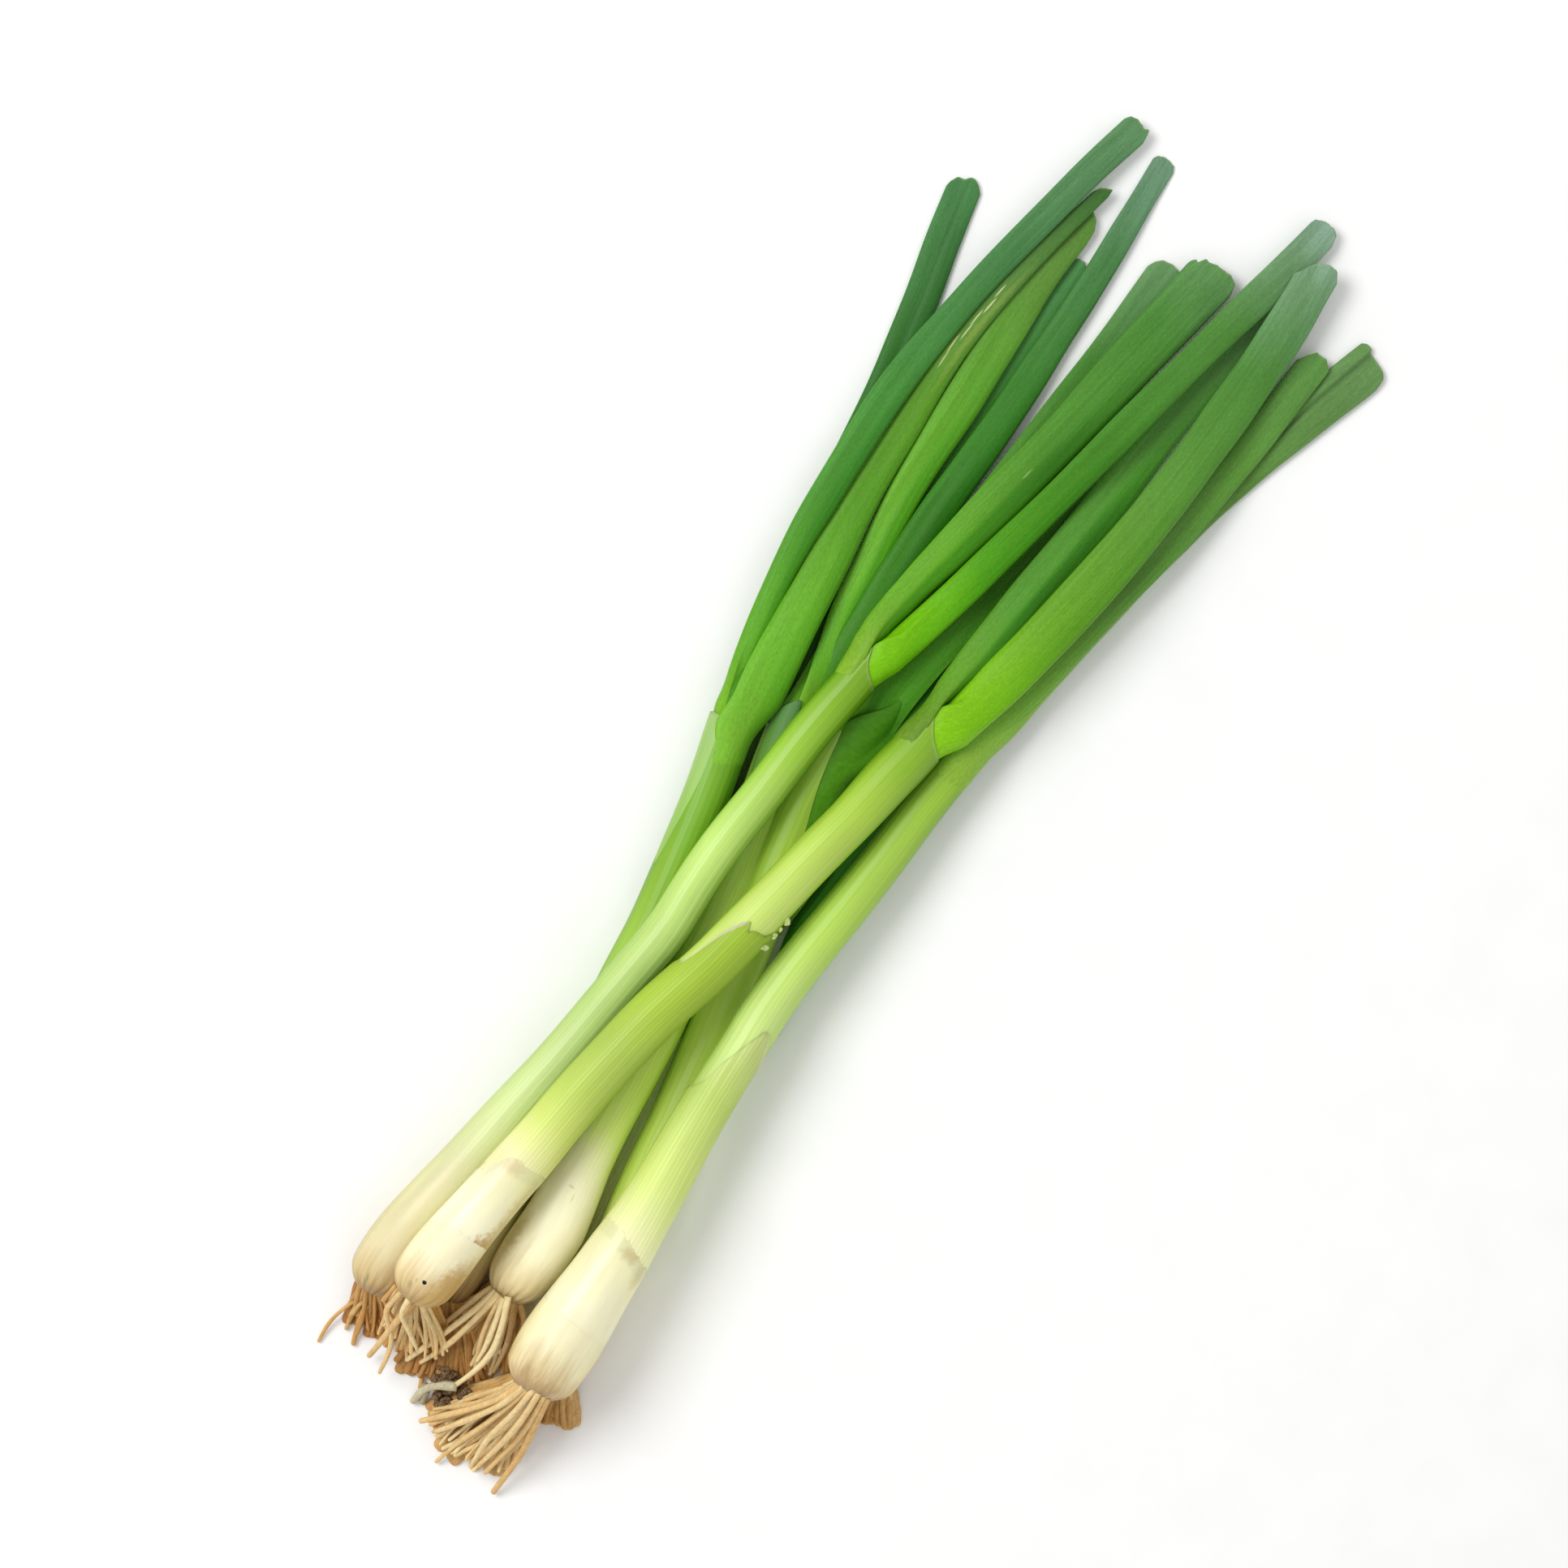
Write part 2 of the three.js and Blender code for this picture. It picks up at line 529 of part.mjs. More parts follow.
// The origin is the middle of the bunch's footprint, on the table.
const box = new THREE.Box3().setFromObject(bunch);
bunch.position.set(-(box.min.x + box.max.x) / 2, -(box.min.y + box.max.y) / 2, 0);

export default bunch;
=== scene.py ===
"""A loose bunch of six spring onions lying on a table, built round its CAD frame.

Each plant is a fleshy stem (the bulb and its nested leaf sheaths), hollow leaves and a tuft of roots.
Lengths in the sections below are in millimetres, and meshes are written in metres.
"""

import math

import bpy
import numpy as np
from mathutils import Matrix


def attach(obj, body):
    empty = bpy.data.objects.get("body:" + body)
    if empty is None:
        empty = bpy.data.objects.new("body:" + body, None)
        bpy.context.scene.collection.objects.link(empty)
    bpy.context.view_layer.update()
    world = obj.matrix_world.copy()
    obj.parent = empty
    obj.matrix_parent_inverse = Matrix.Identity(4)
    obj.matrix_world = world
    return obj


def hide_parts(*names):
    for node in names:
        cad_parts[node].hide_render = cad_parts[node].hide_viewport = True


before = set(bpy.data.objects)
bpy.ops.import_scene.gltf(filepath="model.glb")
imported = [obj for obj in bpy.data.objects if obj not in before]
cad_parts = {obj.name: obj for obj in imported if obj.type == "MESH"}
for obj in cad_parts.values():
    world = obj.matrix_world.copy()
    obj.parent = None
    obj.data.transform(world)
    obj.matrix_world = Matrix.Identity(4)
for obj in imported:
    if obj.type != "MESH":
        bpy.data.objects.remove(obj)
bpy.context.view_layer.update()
MM = 0.001


# ======================================================================================================
# The table, the light and the camera
# A plain white table top, lit by one large soft panel on the left and by an even white surround.
# The camera hangs one metre above it and looks straight down. None of it is part of the bunch.
# ======================================================================================================

def linear(code):
    """A colour code such as #E8E0B0 as linear red, green and blue, and an alpha of 1."""
    parts = [int(code[i:i + 2], 16) / 255 for i in (1, 3, 5)]
    return tuple(c / 12.92 if c <= 0.04045 else ((c + 0.055) / 1.055) ** 2.4 for c in parts) + (1.0,)


def add(tree, kind, inputs=None, stops=None, **settings):
    """Adds one shader node. An input that is given a socket is linked to it, one that is given a node is
    linked to that node's first output, and any other gets the value. stops are a colour ramp's [position,
    colour code] pairs."""
    made = tree.nodes.new(kind)
    for name, value in settings.items():
        setattr(made, name, value)
    for name, value in (inputs or {}).items():
        if isinstance(value, bpy.types.Node):
            value = value.outputs[0]
        if isinstance(value, bpy.types.NodeSocket):
            tree.links.new(value, made.inputs[name])
        else:
            made.inputs[name].default_value = value
    for i, (position, code) in enumerate(stops or ()):
        element = made.color_ramp.elements[i] if i < 2 else made.color_ramp.elements.new(position)
        element.position = position
        element.color = linear(code)
    return made


def blank(name):
    """A material with an empty node tree, and that tree."""
    material = bpy.data.materials.new(name)
    material.use_nodes = True
    material.node_tree.nodes.clear()
    return material, material.node_tree


# Painted board: the faint mottle keeps the soft shadows from looking flat.
material, tree = blank("white painted board, rolled matt")
place = add(tree, "ShaderNodeTexCoord").outputs["Object"]
mottle = add(tree, "ShaderNodeTexNoise", {"Vector": place, "Scale": 60.0, "Detail": 3.0})
shade = add(tree, "ShaderNodeValToRGB", {"Fac": mottle}, stops=[(0.3, "#F7F7F6"), (0.7, "#FAFAF9")])
paint = add(tree, "ShaderNodeBsdfPrincipled", {"Base Color": shade, "Roughness": 0.8,
                                               "Specular IOR Level": 0.2})
add(tree, "ShaderNodeOutputMaterial", {"Surface": paint})
table_mesh = bpy.data.meshes.new("table")
table_mesh.from_pydata([(-2, -2, 0), (2, -2, 0), (2, 2, 0), (-2, 2, 0)], [], [(0, 1, 2, 3)])
table_mesh.materials.append(material)
table = bpy.data.objects.new("table", table_mesh)
bpy.context.scene.collection.objects.link(table)

world = bpy.data.worlds.new("white surround")
world.use_nodes = True
world.node_tree.nodes["Background"].inputs["Color"].default_value = (1.0, 1.0, 1.0, 1.0)
world.node_tree.nodes["Background"].inputs["Strength"].default_value = 0.7
bpy.context.scene.world = world
# The plain colour transform shows fresh greens as strong as they are.
bpy.context.scene.view_settings.view_transform = "Standard"

# The camera is turned 54 degrees, so that it sees the bunch point to its upper right, and its view is twice
# HALF_VIEW wide at the middle of the bunch.
TURN = math.radians(54)
CAMERA_HEIGHT = 1000
BUNCH_MIDDLE = 15
HALF_VIEW = 193.2
camera_data = bpy.data.cameras.new("camera")
camera_data.sensor_fit = "HORIZONTAL"
camera_data.angle = 2 * math.atan(HALF_VIEW / (CAMERA_HEIGHT - BUNCH_MIDDLE))
camera_data.clip_start = 0.05
camera = bpy.data.objects.new("camera", camera_data)
camera.location = (-3.018 * MM, 3.322 * MM, CAMERA_HEIGHT * MM)
camera.rotation_euler = (0, 0, -TURN)
bpy.context.scene.collection.objects.link(camera)
bpy.context.scene.camera = camera

# The panel hangs to the left and beyond the leaves as the camera sees them, so that highlights lie left of
# each stem's middle. Distances in metres.
PANEL_LEFT, PANEL_BEYOND, PANEL_HEIGHT = 0.72, 0.42, 1.2
panel_data = bpy.data.lights.new("panel", "AREA")
panel_data.shape = "DISK"
panel_data.size = 0.8
panel_data.energy = 12.0
panel = bpy.data.objects.new("panel", panel_data)
left = np.array([-math.cos(TURN), math.sin(TURN)])
upper = np.array([math.sin(TURN), math.cos(TURN)])
reach = PANEL_LEFT * left + PANEL_BEYOND * upper
panel.location = (*reach, PANEL_HEIGHT)
tilt = math.atan2(math.hypot(*reach), PANEL_HEIGHT)
panel.rotation_euler = (tilt, 0, math.atan2(reach[1], reach[0]) + math.pi / 2)
bpy.context.scene.collection.objects.link(panel)


# ======================================================================================================
# The stems
# Each stem is a white bulb that runs up into a shaft of nested leaf sheaths, fleshy, moist and slightly
# translucent, closed below by the root plate and open above in a thin rim that the leaves come out of.
# ======================================================================================================

def ease(x, start, end):
    """0 before start, 1 after end, and a smooth step between them."""
    t = np.clip((x - start) / (end - start), 0, 1)
    return t * t * (3 - 2 * t)


def drift(x, length, seed):
    """A slow irregular wave from about -1 to 1: five sines with wavelengths round the given length."""
    random = np.random.default_rng(seed)
    waves = length * random.uniform(0.45, 1.9, 5)
    starts = random.uniform(0, 2 * math.pi, 5)
    return sum(np.sin(2 * math.pi * x / w + p) for w, p in zip(waves, starts)) / 2.6


def soften(x, values, width):
    """A bell-shaped running average of values along x, with the given width."""
    weight = np.exp(-0.5 * ((x[:, None] - x[None]) / width) ** 2)
    return (weight @ values) / weight.sum(1, keepdims=True)


def soften_round(values, width):
    """A bell-shaped running average round a closed ring, with a width in samples."""
    away = np.arange(len(values))
    away = np.minimum(away, len(values) - away)
    bell = np.exp(-0.5 * (away / width) ** 2)
    return np.real(np.fft.ifft(np.fft.fft(values) * np.fft.fft(bell / bell.sum())))


def read_strand(node, head, tail, swell, sleeve=(0, 0, 0)):
    """Where a CAD strand lies. Its mesh is cut by planes across +X, and each cut's middle, half width and
    half height are kept. Its first head and last tail millimetres, where it closes, are carried on straight
    and a little past its ends, all values are softened, and the strand is measured off along its own length.
    swell makes up for the few flat sides. sleeve is the [start, end, thickness] of an outer sheath that the
    CAD has round it, which comes off."""
    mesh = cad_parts[node].data
    corner = np.empty(len(mesh.vertices) * 3)
    mesh.vertices.foreach_get("co", corner)
    corner = corner.reshape(-1, 3) / MM
    pair = np.empty(len(mesh.edges) * 2, np.int32)
    mesh.edges.foreach_get("vertices", pair)
    a, b = corner[pair[0::2]], corner[pair[1::2]]
    first, last = corner[:, 0].min(), corner[:, 0].max()
    cuts, spare, sloping = 300, 20, 8
    cut = np.linspace(first + head, last - tail, cuts)
    with np.errstate(all="ignore"):
        t = (cut - a[:, :1]) / (b[:, :1] - a[:, :1])
        hit = (t >= 0) & (t <= 1)
        across = np.where(hit, a[:, 1:2] + t * (b - a)[:, 1:2], np.nan)
        height = np.where(hit, a[:, 2:3] + t * (b - a)[:, 2:3], np.nan)
    low = np.stack([np.nanmin(across, 0), np.nanmin(height, 0)], 1)
    high = np.stack([np.nanmax(across, 0), np.nanmax(height, 0)], 1)
    values = np.concatenate([(low + high) / 2, (high - low) / 2], 1)
    step = cut[1] - cut[0]
    ahead, behind = int((head + spare) / step), int((tail + spare) / step)
    reach = int(sloping / step)
    slope_0 = (values[reach] - values[0]) / reach * [1, 1, 0, 0]
    slope_1 = (values[-1] - values[-1 - reach]) / reach * [1, 1, 0, 0]
    values = np.concatenate([
        values[0] - slope_0 * np.arange(ahead, 0, -1)[:, None], values,
        values[-1] + slope_1 * np.arange(1, behind + 1)[:, None]])
    x = cut[0] + step * np.arange(-ahead, len(values) - ahead)
    # The bulb's round shape is kept closely, and the shaft beyond it is softened over a longer stretch.
    bulb = 1 - ease(x, first + 24, first + 44)[:, None]
    line = soften(x, values[:, :2], 4.5)
    half = bulb * soften(x, values[:, 2:], 1.8) + (1 - bulb) * soften(x, values[:, 2:], 8.0)
    keep = (x >= first - 0.01) & (x <= last + 0.01)
    line, half, x = line[keep], half[keep], x[keep]
    covered = ease(x, first + sleeve[0] - 4, first + sleeve[0] + 12) * (
        1 - ease(x, first + sleeve[1] - 8, first + sleeve[1] + 10))
    half = half * swell - sleeve[2] * covered[:, None]
    middle = np.stack([x, line[:, 0], line[:, 1]], 1)
    s = np.concatenate([[0], np.cumsum(np.linalg.norm(np.diff(middle, axis=0), axis=1))])
    along = np.gradient(middle, s, axis=0)
    along /= np.linalg.norm(along, axis=1, keepdims=True)
    side = np.stack([-along[:, 1], along[:, 0], 0 * s], 1)
    side /= np.linalg.norm(side, axis=1, keepdims=True)
    up = np.cross(along, side)
    half[:, 0] *= side[:, 1]
    return {"s": s, "length": s[-1], "values": np.concatenate([middle, along, side, up, half], 1)}


def at(strand, s):
    """A strand's middle, direction along, side, up, half width and half height at distances s of any shape,
    carried straight on past its ends."""
    inside = np.clip(s, 0, strand["length"])
    v = np.stack([np.interp(inside, strand["s"], column) for column in strand["values"].T], -1)
    middle = v[..., :3] + v[..., 3:6] * (s - inside)[..., None]
    return middle, v[..., 3:6], v[..., 6:9], v[..., 9:12], v[..., 12], v[..., 13]


def skin(name, points, fields, material, nodes=(), poles=(True, True)):
    """A smooth mesh object from rows of rings of points (rows, columns, 3), in millimetres. Neighbouring rows
    are joined by quads, each ring is closed, and a pole closes the first and last ring. fields holds further
    values at every point: three numbers or one."""
    rows, columns = points.shape[:2]
    index = np.arange(rows * columns).reshape(rows, columns)
    beside = np.roll(index, -1, 1)
    quads = np.stack([index[:-1], beside[:-1], beside[1:], index[1:]], -1).reshape(-1, 4)
    corners, sizes = [quads.ravel()], [np.full(len(quads), 4)]
    co = [points.reshape(-1, 3)]
    extra = {k: [v.reshape(rows * columns, -1)] for k, v in fields.items()}
    for wanted, row, order in ((poles[0], 0, (1, 0)), (poles[1], rows - 1, (0, 1))):
        if not wanted:
            continue
        pole = np.full(columns, sum(len(c) for c in co))
        ring = [index[row], beside[row]]
        corners.append(np.stack([pole, ring[order[0]], ring[order[1]]], -1).ravel())
        sizes.append(np.full(columns, 3))
        co.append(points[row].mean(0)[None])
        for k, v in fields.items():
            extra[k].append(v[row].reshape(columns, -1).mean(0)[None])
    co, corners, sizes = np.concatenate(co), np.concatenate(corners), np.concatenate(sizes)
    fields = {k: np.concatenate(v) for k, v in extra.items()}
    return mesh_piece(name, co, corners, sizes, fields, material, nodes)


def mesh_piece(name, co, corners, sizes, fields, material, nodes=()):
    """A smooth mesh object from points, the corners of its faces one after another and their counts."""
    mesh = bpy.data.meshes.new(name)
    mesh.vertices.add(len(co))
    mesh.vertices.foreach_set("co", (co * MM).astype(np.float32).ravel())
    mesh.loops.add(len(corners))
    mesh.loops.foreach_set("vertex_index", corners.astype(np.int32))
    mesh.polygons.add(len(sizes))
    starts = np.concatenate([[0], np.cumsum(sizes)[:-1]])
    mesh.polygons.foreach_set("loop_start", starts.astype(np.int32))
    mesh.polygons.foreach_set("use_smooth", np.ones(len(sizes), bool))
    mesh.update(calc_edges=True)
    for k, v in fields.items():
        wide = v.ndim > 1 and v.shape[1] == 3
        mesh.attributes.new(k, "FLOAT_VECTOR" if wide else "FLOAT", "POINT").data.foreach_set(
            "vector" if wide else "value", v.astype(np.float32).ravel())
    mesh.materials.append(material)
    piece = bpy.data.objects.new(name, mesh)
    bpy.context.scene.collection.objects.link(piece)
    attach(piece, "root")
    if nodes:
        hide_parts(*nodes)
    return piece


def living_skin(name, stops, veins=(30, 0.3), roughness=0.4, gloss=0.35, flesh=0.0, streak=0.5, rim="#C9D69A",
                speckle=0.0, bare=0.6, marks=()):
    """Plant skin. The colour follows a ramp of [millimetres, colour] along the strand, shifted by slow noise
    so that it has no straight border. Thin noise drawn out along the strand lightens and darkens it in
    streaks. veins, [count round the strand, strength], are cosine waves of the angle round it with a slow
    wander, which draw parallel lines. Streaks and veins are weaker on the bulb, by the share bare, and
    speckle is the strength of the pores. The flank field deepens the colour by a power above 1, the crease
    field darkens it, and the edge field gives the rim colour. A mark is [s, across, up, length, width,
    colour, strength, softness], an oval with a frayed border that fades out over the share softness."""
    material, tree = blank(name)
    place = add(tree, "ShaderNodeAttribute", attribute_name="strand").outputs["Vector"]
    part = add(tree, "ShaderNodeSeparateXYZ", {"Vector": place}).outputs
    slow = add(tree, "ShaderNodeVectorMath", {0: place, 1: (0.035, 0.16, 0.16)}, operation="MULTIPLY")
    cloud = add(tree, "ShaderNodeTexNoise", {"Vector": slow, "Scale": 1.0, "Detail": 3.0})
    drawn = add(tree, "ShaderNodeVectorMath", {0: place, 1: (0.016, 1.0, 1.0)}, operation="MULTIPLY")
    fibre = add(tree, "ShaderNodeTexNoise", {"Vector": drawn, "Scale": 1.1, "Detail": 4.0,
                                             "Roughness": 0.62})
    # Both noises are about a half on average, so 13 mm takes back what they add.
    moved = add(tree, "ShaderNodeMath", {0: cloud, 1: 16.0, 2: part["X"]}, operation="MULTIPLY_ADD")
    moved = add(tree, "ShaderNodeMath", {0: fibre, 1: 10.0, 2: moved}, operation="MULTIPLY_ADD")
    share = add(tree, "ShaderNodeMath", {0: moved, 1: 13.0}, operation="SUBTRACT")
    ramp_end = 250.0
    share = add(tree, "ShaderNodeMath", {0: share, 1: ramp_end}, operation="DIVIDE")
    colour = add(tree, "ShaderNodeValToRGB", {"Fac": share}, stops=[(x / ramp_end, c) for x, c in stops])
    # Painted shade: this field deepens the colour by a power above 1 on the sides that turn away from the
    # light.
    side_shade = add(tree, "ShaderNodeAttribute", attribute_name="side_shade").outputs["Fac"]
    power = add(tree, "ShaderNodeMath", {0: side_shade, 1: 1.0}, operation="ADD")
    colour = add(tree, "ShaderNodeGamma", {"Color": colour, "Gamma": power})
    # The veins stand pale on the skin, in a spacing of 1 to 1.5 mm, some strong and some faint.
    angle = add(tree, "ShaderNodeMath", {0: part["Z"], 1: part["Y"]}, operation="ARCTAN2")
    wander = add(tree, "ShaderNodeMath", {0: cloud, 1: 5.0}, operation="MULTIPLY")
    phase = add(tree, "ShaderNodeMath", {0: angle, 1: float(veins[0]), 2: wander},
                operation="MULTIPLY_ADD")
    wave = add(tree, "ShaderNodeMath", {0: phase}, operation="COSINE")
    smooth = add(tree, "ShaderNodeMapRange", {"Value": part["X"], "From Min": 24.0, "From Max": 60.0,
                                              "To Min": bare, "To Max": 1.0})
    uneven = add(tree, "ShaderNodeMapRange", {"Value": fibre, "From Min": 0.35, "From Max": 0.65,
                                              "To Min": 0.1, "To Max": 1.5})
    grown = add(tree, "ShaderNodeMath", {0: smooth, 1: uneven}, operation="MULTIPLY")
    wave = add(tree, "ShaderNodeMath", {0: wave, 1: grown}, operation="MULTIPLY")
    lines = add(tree, "ShaderNodeMath", {0: wave, 1: 0.11 * veins[1], 2: 1.0}, operation="MULTIPLY_ADD")
    streaks = add(tree, "ShaderNodeMapRange", {"Value": fibre, "From Min": 0.3, "From Max": 0.7,
                                               "To Min": -0.2 * streak, "To Max": 0.2 * streak})
    streaks = add(tree, "ShaderNodeMath", {0: streaks, 1: smooth, 2: 1.0}, operation="MULTIPLY_ADD")
    light = add(tree, "ShaderNodeMath", {0: streaks, 1: lines}, operation="MULTIPLY")
    broad = add(tree, "ShaderNodeMapRange", {"Value": cloud, "From Min": 0.3, "From Max": 0.7,
                                             "To Min": 0.92, "To Max": 1.08})
    light = add(tree, "ShaderNodeMath", {0: light, 1: broad}, operation="MULTIPLY")
    # Pores and specks of wax, about half a millimetre long. Real ones are finer than the render shows.
    short = add(tree, "ShaderNodeVectorMath", {0: place, 1: (0.45, 1.3, 1.3)}, operation="MULTIPLY")
    pores = add(tree, "ShaderNodeTexNoise", {"Vector": short, "Scale": 2.2, "Detail": 2.0})
    dots = add(tree, "ShaderNodeMapRange", {"Value": pores, "From Min": 0.25, "From Max": 0.75,
                                            "To Min": 1 - 0.22 * speckle, "To Max": 1 + 0.22 * speckle})
    light = add(tree, "ShaderNodeMath", {0: light, 1: dots}, operation="MULTIPLY")
    # Painted shade: the crease field darkens the skin in creases, inside mouths and cuts, over the root plate
    # and along torn and papery edges.
    crease = add(tree, "ShaderNodeAttribute", attribute_name="crease").outputs["Fac"]
    fold = add(tree, "ShaderNodeMath", {0: crease, 1: -0.55, 2: 1.0}, operation="MULTIPLY_ADD")
    light = add(tree, "ShaderNodeMath", {0: light, 1: fold}, operation="MULTIPLY")
    colour = add(tree, "ShaderNodeVectorMath", {0: colour, "Scale": light}, operation="SCALE")
    last = colour
    frayed = add(tree, "ShaderNodeTexNoise", {"Vector": place, "Scale": 0.7, "Detail": 3.0}).outputs["Color"]
    frayed = add(tree, "ShaderNodeVectorMath", {0: frayed, 1: (0.5, 0.5, 0.5)}, operation="SUBTRACT")
    for s, across, up, length, width, code, strength, softness in marks:
        ragged = add(tree, "ShaderNodeVectorMath", {0: frayed, 1: (0.9 * width,) * 3, 2: place},
                     operation="MULTIPLY_ADD")
        away = add(tree, "ShaderNodeVectorMath", {0: ragged, 1: (s, across, up)}, operation="SUBTRACT")
        away = add(tree, "ShaderNodeVectorMath", {0: away, 1: (1 / length, 1 / width, 1 / max(width, 3))},
                   operation="MULTIPLY")
        far = add(tree, "ShaderNodeVectorMath", {0: away}, operation="LENGTH").outputs["Value"]
        inside = add(tree, "ShaderNodeMapRange", {
            "Value": far, "From Min": 1.0, "From Max": 1 - softness, "To Min": 0.0, "To Max": strength},
            interpolation_type="SMOOTHSTEP")
        last = add(tree, "ShaderNodeMix", {0: inside, 6: last, 7: linear(code)}, data_type="RGBA").outputs[2]
    edge = add(tree, "ShaderNodeAttribute", attribute_name="edge").outputs["Fac"]
    last = add(tree, "ShaderNodeMix", {0: edge, 6: last, 7: linear(rim)}, data_type="RGBA").outputs[2]
    ridge = add(tree, "ShaderNodeMath", {0: wave, 1: 0.2 * veins[1], 2: fibre}, operation="MULTIPLY_ADD")
    ridge = add(tree, "ShaderNodeMath", {0: pores, 1: 0.5 * speckle, 2: ridge}, operation="MULTIPLY_ADD")
    ridge = add(tree, "ShaderNodeMath", {0: ridge, 1: smooth}, operation="MULTIPLY")
    relief = add(tree, "ShaderNodeBump", {"Height": ridge, "Strength": 0.3, "Distance": 0.12 * MM})
    waxy = add(tree, "ShaderNodeMapRange", {"Value": cloud, "To Min": roughness - 0.08,
                                            "To Max": roughness + 0.08})
    surface = add(tree, "ShaderNodeBsdfPrincipled", {
        "Base Color": last, "Roughness": waxy, "IOR": 1.4, "Specular IOR Level": gloss,
        "Normal": relief, "Subsurface Weight": flesh, "Subsurface Radius": (1.0, 0.9, 0.4),
        "Subsurface Scale": 1.6 * MM})
    add(tree, "ShaderNodeOutputMaterial", {"Surface": surface})
    return material


def ring(middle, side, up, wide, high, phi):
    """Points round a middle line at angles phi, across by wide times the cosine and up by high times the
    sine."""
    return middle + side * (wide * np.cos(phi))[..., None] + up * (high * np.sin(phi))[..., None]


def round_stem(name, s, phi):
    """A stem's outer skin at distances s and angles phi, 0 on its +Y side and a quarter turn on top: the
    middle line, the directions across and up, and the half width and height of an ellipse with a slow bulge
    and flat flutes. Its nudge moves it across and widens it, as [distance, across, wider]."""
    number = int(name[6])
    middle, along, side, up, a, b = at(stems[name], s)
    if STEMS[name].get("nudge"):
        where, across, wider = np.array(STEMS[name]["nudge"]).T
        middle = middle + side * np.interp(s, where, across)[..., None]
        a = a + np.interp(s, where, wider)
    bulge = 0.15 * drift(s + 9 * np.cos(phi), 60, 70 + number)
    flutes = 0.025 * ease(s, 26, 60) * np.cos((17 + number) * phi + drift(s, 150, 80 + number))
    return middle, side, up, a + bulge + flutes, b + bulge + flutes
